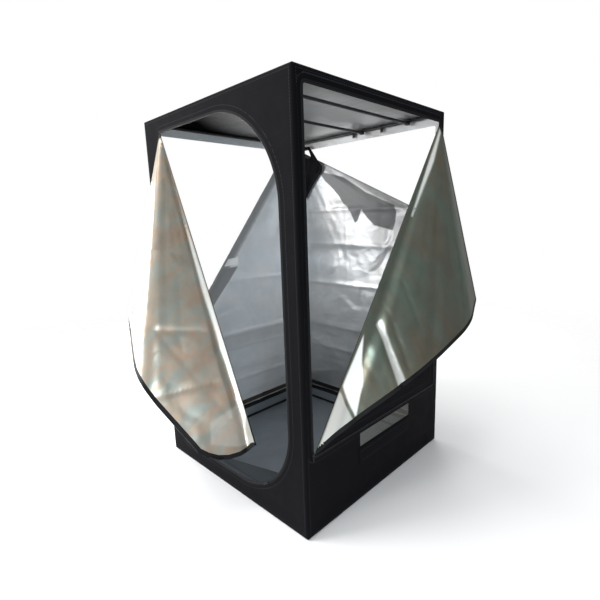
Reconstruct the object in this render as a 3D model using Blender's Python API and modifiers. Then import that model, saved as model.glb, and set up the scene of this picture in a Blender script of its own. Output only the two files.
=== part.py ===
"""Indoor grow tent: a steel tube frame inside a cloth cover with four unzipped doors.

Each door is cut flat, stays closed below its fold line, and the rest hangs outside the tent.
The hanging cloth is a fan of flat panels that fold about lines through the door's top corner,
so the same panels lie flat in the doorway when the door is closed.

Metres, +Z up. The origin is the middle of the tent's floor, the front faces -Y.
"""
import math

import bmesh
import bpy
from mathutils import Matrix, Vector

# The tent
TENT_WIDTH = 1.20
TENT_DEPTH = 1.20
TENT_HEIGHT = 2.00
CLOTH = 0.002
TOUCH = 0.0003

# Frame tubes and their corner pieces
TUBE_RADIUS = 0.0095
TUBE_WALL = 0.001
SLEEVE_WALL = 0.003
SLEEVE_LENGTH = 0.055
SLEEVE_CORE = 0.016
ROUND_SEGMENTS = 20

# Hanging bars for lamps, and the hooks that carry them on the front and back rails
BAR_RADIUS = 0.008
BAR_DROP = 0.015
BAR_RIGHT_PLACE = 0.383
BAR_MIDDLE_PLACE = 0.05
HOOK_THICKNESS = 0.002
HOOK_WIDTH = 0.024
HOOK_SHELF = 0.030
HOOK_ARC_POINTS = 14
HOOK_TIP_ANGLE = math.radians(205)

# Floor tray
TRAY_WALL = 0.0015
TRAY_HEIGHT = 0.105

# Doorways. Jambs and headers are the cloth left round them. Heights run from the floor
FRONT_DOOR_HINGE_JAMB = 0.18
FRONT_DOOR_EDGE_JAMB = 0.105
FRONT_DOOR_HEADER = 0.09
FRONT_DOOR_BOTTOM = 0.115
FRONT_TOP_RADIUS = 0.42
FRONT_BOTTOM_RADIUS = 0.385
FRONT_ZIP_END_ANGLE = math.radians(-55)
FRONT_HEM_SHARE = 0.906
SIDE_DOOR_JAMB = 0.055
SIDE_DOOR_HEADER = 0.065
RIGHT_DOOR_BOTTOM = 0.40
LEFT_DOOR_BOTTOM = 0.14
BACK_DOOR_BOTTOM = 0.14
LEFT_ZIP_END_SHARE = 0.28
BACK_ZIP_END_SHARE = 0.71
SMALL_CORNER = 0.012
ARC_POINTS = 14
CORNER_POINTS = 3

# How each door's loose cloth is folded: where the folds lie, and how far each one turns
FRONT_FOLD_SHARES = (0.3, 0.6)
FRONT_FOLD_ANGLES = (102, 86, 10)
RIGHT_FOLD_SHARES = (1 / 3, 2 / 3)
RIGHT_FOLD_ANGLES = (153, 14, 24)
LEFT_FOLD_SHARES = (0.5,)
LEFT_FOLD_ANGLES = (150, 34)
BACK_FOLD_SHARES = (0.5,)
BACK_FOLD_ANGLES = (140, 28)
SILL_FOLD_ANGLE = math.radians(104)
FOLD_LIFT = 0.00015
FOLD_GAP = 0.0006
FLAP_CLEARANCE = 0.0025
APEX_CUT = 0.035
SILL_TIP_CUT = 0.018

# Zips
ZIP_WIDTH = 0.014
ZIP_THICKNESS = 0.0012
ZIP_SETBACK = 0.001
SLIDER_LENGTH = 0.014
SLIDER_WIDTH = 0.010
SLIDER_HEIGHT = 0.005
PULL_LENGTH = 0.034
PULL_WIDTH = 0.007
PULL_THICKNESS = 0.0015
PULL_OVERLAP = 0.004
PULL_CORNER = 0.0023
LEFT_SLIDER_PLACE = 0.16

# Vent in the right wall, its net and its cover
VENT_MIDDLE = 0.025
VENT_WIDTH = 0.465
VENT_BOTTOM = 0.300
VENT_HEIGHT = 0.072
VENT_CORNER = 0.003
NET_THICKNESS = 0.001
NET_THREAD = 0.0035
NET_COLUMNS = 24
NET_ROWS = 4
COVER_MARGIN = 0.010
COVER_CORNER = 0.010

# Ties on the back rail, one on each side of the middle hanging bar
STRAP_THICKNESS = 0.0015
STRAP_WIDTH = 0.020
STRAP_TAIL = 0.022
STRAP_PLACE_LEFT = -0.03
STRAP_PLACE_RIGHT = 0.19

# One overrun for every cutter
OVERRUN = 0.002

# Sides that meet at less than this are shaded as one round surface
SMOOTH_ANGLE = math.radians(35)

SLEEVE_RADIUS = TUBE_RADIUS + TOUCH + SLEEVE_WALL
FRAME_INSET = CLOTH + TOUCH + SLEEVE_RADIUS
FRAME_X = TENT_WIDTH / 2 - FRAME_INSET
FRAME_Y = TENT_DEPTH / 2 - FRAME_INSET
FRAME_LOW = FRAME_INSET
FRAME_HIGH = TENT_HEIGHT - FRAME_INSET

FRONT_DOOR_HINGE = TENT_WIDTH / 2 - FRONT_DOOR_HINGE_JAMB
FRONT_DOOR_EDGE = TENT_WIDTH / 2 - FRONT_DOOR_EDGE_JAMB
FRONT_DOOR_TOP = TENT_HEIGHT - FRONT_DOOR_HEADER
SIDE_DOOR_TOP = TENT_HEIGHT - SIDE_DOOR_HEADER

OBJECT_NAME = "grow_tent"


def clear_scene():
    """Remove what the file starts with."""
    for item in list(bpy.data.objects):
        bpy.data.objects.remove(item, do_unlink=True)


def make_collections():
    """One collection for the parts and one for the cutters."""
    parts = bpy.data.collections.new(OBJECT_NAME)
    cutters = bpy.data.collections.new("cutters")
    bpy.context.scene.collection.children.link(parts)
    bpy.context.scene.collection.children.link(cutters)
    return parts, cutters


def make_material(name, color, roughness, metallic):
    """A Principled material in one colour."""
    material = bpy.data.materials.new(name)
    material.use_nodes = True
    shader = material.node_tree.nodes["Principled BSDF"]
    shader.inputs["Base Color"].default_value = (*color, 1.0)
    shader.inputs["Roughness"].default_value = roughness
    shader.inputs["Metallic"].default_value = metallic
    return material


def make_materials():
    """The tent's materials by name."""
    return {
        "cover_cloth": make_material("cover_cloth", (0.020, 0.020, 0.024), 0.75, 0.0),
        "door_cloth": make_material("door_cloth", (0.42, 0.41, 0.38), 0.35, 0.6),
        "frame_tube": make_material("frame_tube", (0.025, 0.025, 0.028), 0.45, 0.3),
        "corner_plastic": make_material("corner_plastic", (0.018, 0.018, 0.020), 0.55, 0.0),
        "tray_cloth": make_material("tray_cloth", (0.070, 0.080, 0.085), 0.6, 0.0),
        "zip_tape": make_material("zip_tape", (0.010, 0.010, 0.011), 0.8, 0.0),
        "slider_metal": make_material("slider_metal", (0.05, 0.05, 0.055), 0.4, 0.8),
        "vent_net": make_material("vent_net", (0.10, 0.10, 0.095), 0.7, 0.0),
        "strap_web": make_material("strap_web", (0.012, 0.012, 0.013), 0.8, 0.0),
    }


def add_object(name, data, collection, material=None):
    """Link a new object, with its material on its data."""
    item = bpy.data.objects.new(name, data)
    collection.objects.link(item)
    if material is not None:
        data.materials.append(material)
    return item


def arc_points(centre, radius, start, end, count):
    """Points on an arc in the flat plane, both ends included."""
    points = []
    for step in range(count):
        angle = start + (end - start) * step / (count - 1)
        points.append((centre[0] + radius * math.cos(angle), centre[1] + radius * math.sin(angle)))
    return points


def rounded_outline(low, high, radii, counts):
    """A rectangle with round corners, anticlockwise from its lower left corner."""
    corners = [
        ((low[0], low[1]), (1, 1), math.pi),
        ((high[0], low[1]), (-1, 1), 1.5 * math.pi),
        ((high[0], high[1]), (-1, -1), 0.0),
        ((low[0], high[1]), (1, -1), 0.5 * math.pi),
    ]
    points = []
    for (corner, inward, start), radius, count in zip(corners, radii, counts):
        if radius <= 0:
            points.append(corner)
            continue
        centre = (corner[0] + inward[0] * radius, corner[1] + inward[1] * radius)
        points.extend(arc_points(centre, radius, start, start + math.pi / 2, count))
    return points


def clip_outline(points, origin, inside):
    """The part of a convex outline that lies on the side of a line where inside points."""
    kept = []
    for index, here in enumerate(points):
        before = points[index - 1]
        here_side = (here[0] - origin[0]) * inside[0] + (here[1] - origin[1]) * inside[1]
        before_side = (before[0] - origin[0]) * inside[0] + (before[1] - origin[1]) * inside[1]
        if here_side * before_side < 0:
            part = before_side / (before_side - here_side)
            kept.append(tuple(before[axis] + (here[axis] - before[axis]) * part for axis in (0, 1)))
        if here_side >= 0:
            kept.append(here)
    return kept


def flat_piece(name, outlines, thickness, collection, material):
    """A flat sheet cut to closed outlines, as a filled curve with its middle at local z zero."""
    curve = bpy.data.curves.new(name, "CURVE")
    curve.dimensions = "2D"
    curve.fill_mode = "BOTH"
    curve.extrude = thickness / 2
    for outline in outlines:
        spline = curve.splines.new("POLY")
        spline.points.add(len(outline) - 1)
        for point, place in zip(spline.points, outline):
            point.co = (place[0], place[1], 0.0, 1.0)
        spline.use_cyclic_u = True
    return add_object(name, curve, collection, material)


def evaluated_mesh(item, name):
    """The mesh that an object has with its modifiers, with its loose caps welded."""
    graph = bpy.context.evaluated_depsgraph_get()
    mesh = bpy.data.meshes.new_from_object(item.evaluated_get(graph))
    mesh.name = name
    shape = bmesh.new()
    shape.from_mesh(mesh)
    bmesh.ops.remove_doubles(shape, verts=shape.verts, dist=TOUCH / 10)
    bmesh.ops.recalc_face_normals(shape, faces=shape.faces)
    shape.to_mesh(mesh)
    shape.free()
    return mesh


def smooth_round(mesh):
    """Shade round sides smooth and leave the sharp edges sharp."""
    mesh.shade_smooth()
    mesh.set_sharp_from_angle(angle=SMOOTH_ANGLE)


def cylinder_mesh(name, radius, length, capped):
    """A cylinder along local Z from zero to its length."""
    mesh = bpy.data.meshes.new(name)
    shape = bmesh.new()
    bmesh.ops.create_cone(shape, cap_ends=capped, segments=ROUND_SEGMENTS,
                          radius1=radius, radius2=radius, depth=length)
    bmesh.ops.translate(shape, verts=shape.verts, vec=(0, 0, length / 2))
    shape.to_mesh(mesh)
    shape.free()
    smooth_round(mesh)
    return mesh


def make_tube(name, start, end, radius, collection, material):
    """A hollow tube from one point to another: an open cylinder with a wall."""
    start = Vector(start)
    run = Vector(end) - start
    item = add_object(name, cylinder_mesh(name, radius, run.length, False), collection, material)
    item.location = start
    item.rotation_euler = run.to_track_quat("Z", "Y").to_euler()
    wall = item.modifiers.new("wall", "SOLIDIFY")
    wall.thickness = TUBE_WALL
    wall.offset = -1
    return item


def corner_mesh(cutters):
    """A corner piece with three sleeves along +X, +Y and +Z, bored for the tubes."""
    turns = [Matrix.Identity(4), Matrix.Rotation(math.pi / 2, 4, "Y"), Matrix.Rotation(-math.pi / 2, 4, "X")]
    body = None
    for turn in turns:
        arm = add_object("corner_arm", cylinder_mesh("corner_arm", SLEEVE_RADIUS, SLEEVE_LENGTH, True), cutters)
        arm.matrix_world = turn
        if body is None:
            body = arm
            continue
        add_boolean(body, arm, "UNION")
    knob_mesh = bpy.data.meshes.new("corner_knob")
    shape = bmesh.new()
    bmesh.ops.create_uvsphere(shape, u_segments=ROUND_SEGMENTS, v_segments=ROUND_SEGMENTS // 2,
                              radius=SLEEVE_RADIUS)
    shape.to_mesh(knob_mesh)
    shape.free()
    add_boolean(body, add_object("corner_knob", knob_mesh, cutters), "UNION")
    bore_length = SLEEVE_LENGTH - SLEEVE_CORE + OVERRUN
    for turn in turns:
        bore = add_object("corner_bore",
                          cylinder_mesh("corner_bore", TUBE_RADIUS + TOUCH, bore_length, True), cutters)
        bore.matrix_world = turn @ Matrix.Translation((0, 0, SLEEVE_CORE))
        add_boolean(body, bore, "DIFFERENCE")
    for item in cutters.objects:
        item.hide_render = True
        item.display_type = "WIRE"
    bpy.context.view_layer.update()
    mesh = evaluated_mesh(body, "corner_piece")
    smooth_round(mesh)
    return mesh


def add_boolean(item, cutter, operation):
    """Cut or join one object with another."""
    modifier = item.modifiers.new(operation.lower(), "BOOLEAN")
    modifier.operation = operation
    modifier.object = cutter


def corner_turn(side_x, side_y, side_z):
    """The turn that points a corner piece's sleeves away from the given corner."""
    arms = [Vector((-side_x, 0, 0)), Vector((0, -side_y, 0)), Vector((0, 0, -side_z))]
    if side_x * side_y * side_z > 0:
        arms[0], arms[1] = arms[1], arms[0]
    return Matrix(arms).transposed().to_4x4()


def build_corners(parts, cutters, material):
    """Eight corner pieces that share one mesh."""
    mesh = corner_mesh(cutters)
    mesh.materials.clear()
    mesh.materials.append(material)
    for level, side_z, height in (("bottom", -1, FRAME_LOW), ("top", 1, FRAME_HIGH)):
        for depth_name, side_y in (("front", -1), ("back", 1)):
            for width_name, side_x in (("left", -1), ("right", 1)):
                item = add_object(f"{level}_corner_{depth_name}_{width_name}", mesh, parts)
                place = Matrix.Translation((side_x * FRAME_X, side_y * FRAME_Y, height))
                item.matrix_world = place @ corner_turn(side_x, side_y, side_z)


def build_frame(parts, material):
    """Four posts and eight rails, each seated in its corner pieces."""
    seat = SLEEVE_CORE + TOUCH
    for depth_name, side_y in (("front", -1), ("back", 1)):
        for width_name, side_x in (("left", -1), ("right", 1)):
            foot = (side_x * FRAME_X, side_y * FRAME_Y, FRAME_LOW + seat)
            head = (side_x * FRAME_X, side_y * FRAME_Y, FRAME_HIGH - seat)
            make_tube(f"post_{depth_name}_{width_name}", foot, head, TUBE_RADIUS, parts, material)
    for level, height in (("bottom", FRAME_LOW), ("top", FRAME_HIGH)):
        for side_name, side in (("front", -1), ("back", 1)):
            ends = [(end * (FRAME_X - seat), side * FRAME_Y, height) for end in (-1, 1)]
            make_tube(f"{level}_rail_{side_name}", *ends, TUBE_RADIUS, parts, material)
        for side_name, side in (("left", -1), ("right", 1)):
            ends = [(side * FRAME_X, end * (FRAME_Y - seat), height) for end in (-1, 1)]
            make_tube(f"{level}_rail_{side_name}", *ends, TUBE_RADIUS, parts, material)


def hook_outline():
    """A hook over the rail with a leg and two shelves for the bar's end.

    The origin is the rail's axis, the first direction points into the tent, the second up.
    """
    inner = TUBE_RADIUS + TOUCH
    outer = inner + HOOK_THICKNESS
    bar_half = BAR_RADIUS + TOUCH
    shelf_end = outer + HOOK_SHELF
    over = arc_points((0, 0), outer, HOOK_TIP_ANGLE, 0.0, HOOK_ARC_POINTS)
    under = arc_points((0, 0), inner, 0.0, HOOK_TIP_ANGLE, HOOK_ARC_POINTS)
    shelves = [
        (outer, bar_half - BAR_DROP + HOOK_THICKNESS),
        (shelf_end, bar_half - BAR_DROP + HOOK_THICKNESS),
        (shelf_end, bar_half - BAR_DROP),
        (outer, bar_half - BAR_DROP),
        (outer, -bar_half - BAR_DROP),
        (shelf_end, -bar_half - BAR_DROP),
        (shelf_end, -bar_half - BAR_DROP - HOOK_THICKNESS),
        (inner, -bar_half - BAR_DROP - HOOK_THICKNESS),
    ]
    return over + shelves + under


def build_hanging_bar(name, place, parts, materials):
    """A bar across the tent with a hook on each end."""
    bar_end = FRAME_Y - TUBE_RADIUS - HOOK_THICKNESS - 2 * TOUCH
    height = FRAME_HIGH - BAR_DROP
    carrier = bpy.data.objects.new(f"{name}_slide", None)
    parts.objects.link(carrier)
    carrier.location = (place, 0, height)
    tube = make_tube(name, (0, -bar_end, 0), (0, bar_end, 0), BAR_RADIUS, parts, materials["frame_tube"])
    tube.parent = carrier
    for side_name, side in (("front", -1), ("back", 1)):
        hook = flat_piece(f"{name}_hook_{side_name}", [hook_outline()], HOOK_WIDTH,
                          parts, materials["corner_plastic"])
        # Local X points into the tent, local Y points up
        turn = Matrix((Vector((0, -side, 0)), Vector((0, 0, 1)), Vector((-side, 0, 0)))).transposed()
        hook.matrix_basis = Matrix.Translation((0, side * FRAME_Y, BAR_DROP)) @ turn.to_4x4()
        hook.parent = carrier


def wall_frame(outward, distance):
    """A flat frame on a wall: local X runs right as seen from outside, Y up and Z outward."""
    normal = Vector(outward)
    up = Vector((0, 0, 1))
    across = up.cross(normal)
    return Matrix.Translation(normal * distance) @ Matrix((across, up, normal)).transposed().to_4x4()


class Doorway:
    """One wall's door: its opening, its fold lines and where the zip ends.

    Places are in the wall's own flat frame. The hinge side is -1 where the sewn edge is on the
    left as seen from outside, and 1 where it is on the right.
    """

    def __init__(self, name, outward, distance, hinge_side, low, high, radii, counts,
                 zip_end, fold_shares, fold_angles, hem_share=None):
        self.name = name
        self.frame = wall_frame(outward, distance)
        self.hinge_side = hinge_side
        self.low = low
        self.high = high
        self.radii = radii
        self.counts = counts
        self.zip_end = zip_end
        self.fold_shares = fold_shares
        self.fold_angles = [math.radians(angle) for angle in fold_angles]
        self.apex = (low[0] if hinge_side < 0 else high[0], high[1])
        self.hem_share = hem_share

    def outline(self, grow, grow_down=None):
        """The opening's outline, grown by a length or shrunk by a negative one."""
        low = (self.low[0] - grow, self.low[1] - (grow if grow_down is None else grow_down))
        high = (self.high[0] + grow, self.high[1] + grow)
        radii = [max(radius + grow, 0) if radius > 0 else 0 for radius in self.radii]
        return rounded_outline(low, high, radii, self.counts)

    def fold_directions(self):
        """Unit directions of the fold lines, from the fold down to the top edge."""
        start = math.atan2(self.zip_end[1] - self.apex[1], self.zip_end[0] - self.apex[0])
        end = 0.0 if self.hinge_side < 0 else -math.pi
        shares = (0.0, *self.fold_shares)
        angles = [start + (end - start) * share for share in shares]
        return [Vector((math.cos(angle), math.sin(angle), 0)) for angle in angles]

    def loose_side(self, direction):
        """The flat normal of a fold line that points to the loose cloth."""
        return (self.hinge_side * direction.y, -self.hinge_side * direction.x)

    def clip_at_hem(self, points, above):
        """The part of an outline above or below the hem line, which crosses the fold squarely."""
        if self.hem_share is None:
            return points
        down = self.fold_directions()[0]
        reach = self.hem_share * math.dist(self.apex, self.zip_end)
        side = -1 if above else 1
        inside = (side * down.x, side * down.y)
        origin = (self.apex[0] + down.x * reach + inside[0] * FOLD_GAP / 2,
                  self.apex[1] + down.y * reach + inside[1] * FOLD_GAP / 2)
        return clip_outline(points, origin, inside)

    def sill_panel(self):
        """The outline of the part below the hem line, measured from the middle of the door's bottom."""
        points = self.clip_at_hem(self.outline(-FLAP_CLEARANCE, -TOUCH), False)
        tip = min(points)[0] + SILL_TIP_CUT
        return [(x, y - self.low[1]) for x, y in clip_outline(points, (tip, 0), (1, 0))]

    def closed_panel(self):
        """The outline of the part that stays closed, below the fold."""
        direction = self.fold_directions()[0]
        loose = self.loose_side(direction)
        inside = (-loose[0], -loose[1])
        origin = (self.apex[0] + inside[0] * FOLD_GAP / 2, self.apex[1] + inside[1] * FOLD_GAP / 2)
        return self.clip_at_hem(clip_outline(self.outline(-TOUCH), origin, inside), True)

    def loose_panels(self):
        """The outlines of the folded panels, measured from the door's top corner."""
        directions = self.fold_directions()
        panels = []
        for index, direction in enumerate(directions):
            loose = self.loose_side(direction)
            origin = (self.apex[0] + loose[0] * FOLD_GAP / 2, self.apex[1] + loose[1] * FOLD_GAP / 2)
            points = self.clip_at_hem(clip_outline(self.outline(-FLAP_CLEARANCE), origin, loose), True)
            middle = direction
            if index + 1 < len(directions):
                following = directions[index + 1]
                back = self.loose_side(following)
                inside = (-back[0], -back[1])
                origin = (self.apex[0] + inside[0] * FOLD_GAP / 2, self.apex[1] + inside[1] * FOLD_GAP / 2)
                points = clip_outline(points, origin, inside)
                middle = (direction + following).normalized()
            else:
                middle = (direction + Vector((-self.hinge_side, 0, 0))).normalized()
            origin = (self.apex[0] + middle.x * APEX_CUT, self.apex[1] + middle.y * APEX_CUT)
            points = clip_outline(points, origin, (middle.x, middle.y))
            panels.append([(x - self.apex[0], y - self.apex[1]) for x, y in points])
        return panels


def make_doorways():
    """The four doorways of the tent."""
    half_width = TENT_WIDTH / 2
    half_depth = TENT_DEPTH / 2
    zip_centre = (FRONT_DOOR_EDGE - FRONT_BOTTOM_RADIUS, FRONT_DOOR_BOTTOM + FRONT_BOTTOM_RADIUS)
    front_zip_end = (zip_centre[0] + FRONT_BOTTOM_RADIUS * math.cos(FRONT_ZIP_END_ANGLE),
                     zip_centre[1] + FRONT_BOTTOM_RADIUS * math.sin(FRONT_ZIP_END_ANGLE))
    small = (SMALL_CORNER,) * 4
    few = (CORNER_POINTS,) * 4
    edge = TENT_DEPTH / 2 - SIDE_DOOR_JAMB
    back_edge = TENT_WIDTH / 2 - SIDE_DOOR_JAMB
    return [
        Doorway("front", (0, -1, 0), half_depth, -1,
                (-FRONT_DOOR_HINGE, FRONT_DOOR_BOTTOM), (FRONT_DOOR_EDGE, FRONT_DOOR_TOP),
                (SMALL_CORNER, FRONT_BOTTOM_RADIUS, FRONT_TOP_RADIUS, 0.0),
                (CORNER_POINTS, ARC_POINTS, ARC_POINTS, 1),
                front_zip_end, FRONT_FOLD_SHARES, FRONT_FOLD_ANGLES, FRONT_HEM_SHARE),
        Doorway("right", (1, 0, 0), half_width, 1,
                (-edge, RIGHT_DOOR_BOTTOM), (edge, SIDE_DOOR_TOP), small, few,
                (-edge, RIGHT_DOOR_BOTTOM), RIGHT_FOLD_SHARES, RIGHT_FOLD_ANGLES),
        Doorway("back", (0, 1, 0), half_depth, 1,
                (-back_edge, BACK_DOOR_BOTTOM), (back_edge, SIDE_DOOR_TOP), small, few,
                (-back_edge, BACK_ZIP_END_SHARE * TENT_HEIGHT), BACK_FOLD_SHARES, BACK_FOLD_ANGLES),
        Doorway("left", (-1, 0, 0), half_width, -1,
                (-edge, LEFT_DOOR_BOTTOM), (edge, SIDE_DOOR_TOP), small, few,
                (edge, LEFT_ZIP_END_SHARE * TENT_HEIGHT), LEFT_FOLD_SHARES, LEFT_FOLD_ANGLES),
    ]


def vent_outline(grow):
    """The vent in the right wall, grown by a length."""
    low = (VENT_MIDDLE - VENT_WIDTH / 2 - grow, VENT_BOTTOM - grow)
    high = (VENT_MIDDLE + VENT_WIDTH / 2 + grow, VENT_BOTTOM + VENT_HEIGHT + grow)
    return rounded_outline(low, high, (VENT_CORNER + grow,) * 4, (CORNER_POINTS,) * 4)


def build_wall(door, half_span, parts, material):
    """A wall of the cover with its doorway, and its vent on the right wall."""
    outlines = [[(-half_span, 0.0), (half_span, 0.0), (half_span, TENT_HEIGHT), (-half_span, TENT_HEIGHT)],
                door.outline(0.0)]
    if door.name == "right":
        outlines.append(vent_outline(0.0))
    wall = flat_piece(f"{door.name}_wall", outlines, CLOTH, parts, material)
    wall.matrix_world = door.frame @ Matrix.Translation((0, 0, -CLOTH / 2))


def build_door(door, parts, material):
    """The zipped panel of a door, and its loose panels folded out from the top corner."""
    panel = flat_piece(f"{door.name}_door_panel", [door.closed_panel()], CLOTH, parts, material)
    panel.matrix_world = door.frame @ Matrix.Translation((0, 0, -CLOTH / 2))
    parent = None
    turns = zip(door.fold_directions(), door.fold_angles, door.loose_panels())
    for index, (direction, angle, outline) in enumerate(turns, start=1):
        fold = bpy.data.objects.new(f"{door.name}_door_fold_{index}", None)
        parts.objects.link(fold)
        turn = Matrix.Rotation(-door.hinge_side * angle, 4, direction)
        if parent is None:
            fold.matrix_basis = door.frame @ Matrix.Translation((*door.apex, FOLD_LIFT)) @ turn
        else:
            fold.matrix_basis = turn
            fold.parent = parent
        flap = flat_piece(f"{door.name}_door_flap_{index}", [outline], CLOTH, parts, material)
        flap.parent = fold
        flap.location = (0, 0, -CLOTH / 2 - FOLD_LIFT)
        parent = fold


def build_sill(door, parts, material):
    """The lower part of the front door, below its hem, turned down inside over the tray's rim."""
    hinge = bpy.data.objects.new(f"{door.name}_door_sill_hinge", None)
    parts.objects.link(hinge)
    hinge.matrix_basis = door.frame @ Matrix.Translation((0, door.low[1], -CLOTH - FOLD_LIFT)) @ Matrix.Rotation(
        -SILL_FOLD_ANGLE, 4, "X")
    sill = flat_piece(f"{door.name}_door_sill", [door.sill_panel()], CLOTH, parts, material)
    sill.parent = hinge
    sill.location = (0, 0, CLOTH / 2 + FOLD_LIFT)


def build_zip(door, parts, material):
    """The zip tape round a doorway, on the wall's outer face."""
    outlines = [door.outline(ZIP_SETBACK + ZIP_WIDTH), door.outline(ZIP_SETBACK)]
    tape = flat_piece(f"{door.name}_zip_tape", outlines, ZIP_THICKNESS, parts, material)
    tape.matrix_world = door.frame @ Matrix.Translation((0, 0, TOUCH + ZIP_THICKNESS / 2))


def slider_mesh(cutters):
    """A zip slider with its pull: a rounded body along local Y and a flat pull hanging from it."""
    body_mesh = bpy.data.meshes.new("slider_body")
    shape = bmesh.new()
    bmesh.ops.create_cube(shape, size=1.0)
    bmesh.ops.scale(shape, verts=shape.verts, vec=(SLIDER_WIDTH, SLIDER_LENGTH, SLIDER_HEIGHT))
    bmesh.ops.translate(shape, verts=shape.verts, vec=(0, 0, SLIDER_HEIGHT / 2))
    shape.to_mesh(body_mesh)
    shape.free()
    body = add_object("slider_body", body_mesh, cutters)
    rounding = body.modifiers.new("rounding", "BEVEL")
    rounding.width = SLIDER_HEIGHT / 4
    rounding.segments = 2
    low = (-PULL_WIDTH / 2, -SLIDER_LENGTH / 2 + PULL_OVERLAP - PULL_LENGTH)
    high = (PULL_WIDTH / 2, -SLIDER_LENGTH / 2 + PULL_OVERLAP)
    pull = flat_piece("slider_pull", [rounded_outline(low, high, (PULL_CORNER,) * 4, (CORNER_POINTS,) * 4)],
                      PULL_THICKNESS, cutters, None)
    pull_mesh = evaluated_mesh(pull, "slider_pull_mesh")
    bpy.data.objects.remove(pull, do_unlink=True)
    plate = add_object("slider_pull_plate", pull_mesh, cutters)
    plate.location = (0, 0, SLIDER_HEIGHT / 2)
    add_boolean(body, plate, "UNION")
    for item in (body, plate):
        item.hide_render = True
        item.display_type = "WIRE"
    bpy.context.view_layer.update()
    return evaluated_mesh(body, "zip_slider")


def build_sliders(doors, parts, cutters, material):
    """One slider on each zip, where the zip stands open to."""
    mesh = slider_mesh(cutters)
    mesh.materials.clear()
    mesh.materials.append(material)
    by_name = {door.name: door for door in doors}
    lift = 2 * TOUCH + ZIP_THICKNESS
    line = ZIP_SETBACK + ZIP_WIDTH / 2

    front = by_name["front"]
    centre = (FRONT_DOOR_EDGE - FRONT_BOTTOM_RADIUS, FRONT_DOOR_BOTTOM + FRONT_BOTTOM_RADIUS)
    pivot = bpy.data.objects.new("front_zip_arc", None)
    parts.objects.link(pivot)
    pivot.matrix_basis = front.frame @ Matrix.Translation((*centre, 0)) @ Matrix.Rotation(
        FRONT_ZIP_END_ANGLE, 4, "Z")
    slider = add_object("front_zip_slider", mesh, parts)
    slider.parent = pivot
    slider.location = (FRONT_BOTTOM_RADIUS + line, 0, lift)

    right = by_name["right"]
    slider = add_object("right_zip_slider", mesh, parts)
    slider.matrix_world = right.frame @ Matrix.Translation(
        (right.low[0] - line, right.low[1] + SLIDER_LENGTH, lift))

    back = by_name["back"]
    slider = add_object("back_zip_slider", mesh, parts)
    slider.matrix_world = back.frame @ Matrix.Translation((back.low[0] - line, back.zip_end[1], lift))

    # The left zip's pull hangs inside, on its lower run
    left = by_name["left"]
    slider = add_object("left_zip_slider", mesh, parts)
    inside = Matrix.Translation((-LEFT_SLIDER_PLACE, LEFT_DOOR_BOTTOM - line, -CLOTH - TOUCH))
    slider.matrix_world = left.frame @ inside @ Matrix.Rotation(math.pi, 4, "Y") @ Matrix.Rotation(
        math.pi / 2, 4, "Z")


def build_sheets(parts, materials):
    """The roof and the base of the cover."""
    half_x = TENT_WIDTH / 2 - CLOTH - TOUCH
    half_y = TENT_DEPTH / 2 - CLOTH - TOUCH
    outline = [(-half_x, -half_y), (half_x, -half_y), (half_x, half_y), (-half_x, half_y)]
    for name, height in (("roof_sheet", TENT_HEIGHT - CLOTH / 2), ("base_sheet", CLOTH / 2)):
        sheet = flat_piece(name, [outline], CLOTH, parts, materials["cover_cloth"])
        sheet.location = (0, 0, height)


def build_tray(parts, material):
    """The waterproof floor tray: an open box with a thin wall, inside the bottom frame."""
    half_x = FRAME_X - SLEEVE_RADIUS - TOUCH
    half_y = FRAME_Y - SLEEVE_RADIUS - TOUCH
    mesh = bpy.data.meshes.new("floor_tray")
    shape = bmesh.new()
    bmesh.ops.create_cube(shape, size=1.0)
    bmesh.ops.scale(shape, verts=shape.verts, vec=(2 * half_x, 2 * half_y, TRAY_HEIGHT))
    bmesh.ops.translate(shape, verts=shape.verts, vec=(0, 0, TRAY_HEIGHT / 2))
    lid = [face for face in shape.faces if face.normal.z > 0.5]
    bmesh.ops.delete(shape, geom=lid, context="FACES_ONLY")
    shape.to_mesh(mesh)
    shape.free()
    tray = add_object("floor_tray", mesh, parts, material)
    tray.location = (0, 0, CLOTH + TOUCH)
    wall = tray.modifiers.new("wall", "SOLIDIFY")
    wall.thickness = TRAY_WALL
    wall.offset = -1
    wall.use_even_offset = True


def build_vent(door, parts, materials):
    """The vent's net in the wall, and its cover hanging open below."""
    low = (VENT_MIDDLE - VENT_WIDTH / 2, VENT_BOTTOM)
    cell_x = VENT_WIDTH / NET_COLUMNS
    cell_y = VENT_HEIGHT / NET_ROWS
    outlines = [vent_outline(-TOUCH)]
    for column in range(NET_COLUMNS):
        for row in range(NET_ROWS):
            left = low[0] + column * cell_x + NET_THREAD / 2
            bottom = low[1] + row * cell_y + NET_THREAD / 2
            right = left + cell_x - NET_THREAD
            top = bottom + cell_y - NET_THREAD
            outlines.append([(left, bottom), (right, bottom), (right, top), (left, top)])
    net = flat_piece("right_vent_net", outlines, NET_THICKNESS, parts, materials["vent_net"])
    net.matrix_world = door.frame @ Matrix.Translation((0, 0, -CLOTH / 2))

    hinge = bpy.data.objects.new("right_vent_hinge", None)
    parts.objects.link(hinge)
    hinge.matrix_basis = door.frame @ Matrix.Translation((VENT_MIDDLE, VENT_BOTTOM - COVER_MARGIN,
                                                          TOUCH + CLOTH / 2))
    half = VENT_WIDTH / 2 + COVER_MARGIN
    drop = VENT_HEIGHT + 2 * COVER_MARGIN
    outline = rounded_outline((-half, -drop), (half, 0.0), (COVER_CORNER,) * 4, (CORNER_POINTS,) * 4)
    cover = flat_piece("right_vent_cover", [outline], CLOTH, parts, materials["cover_cloth"])
    cover.parent = hinge


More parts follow.
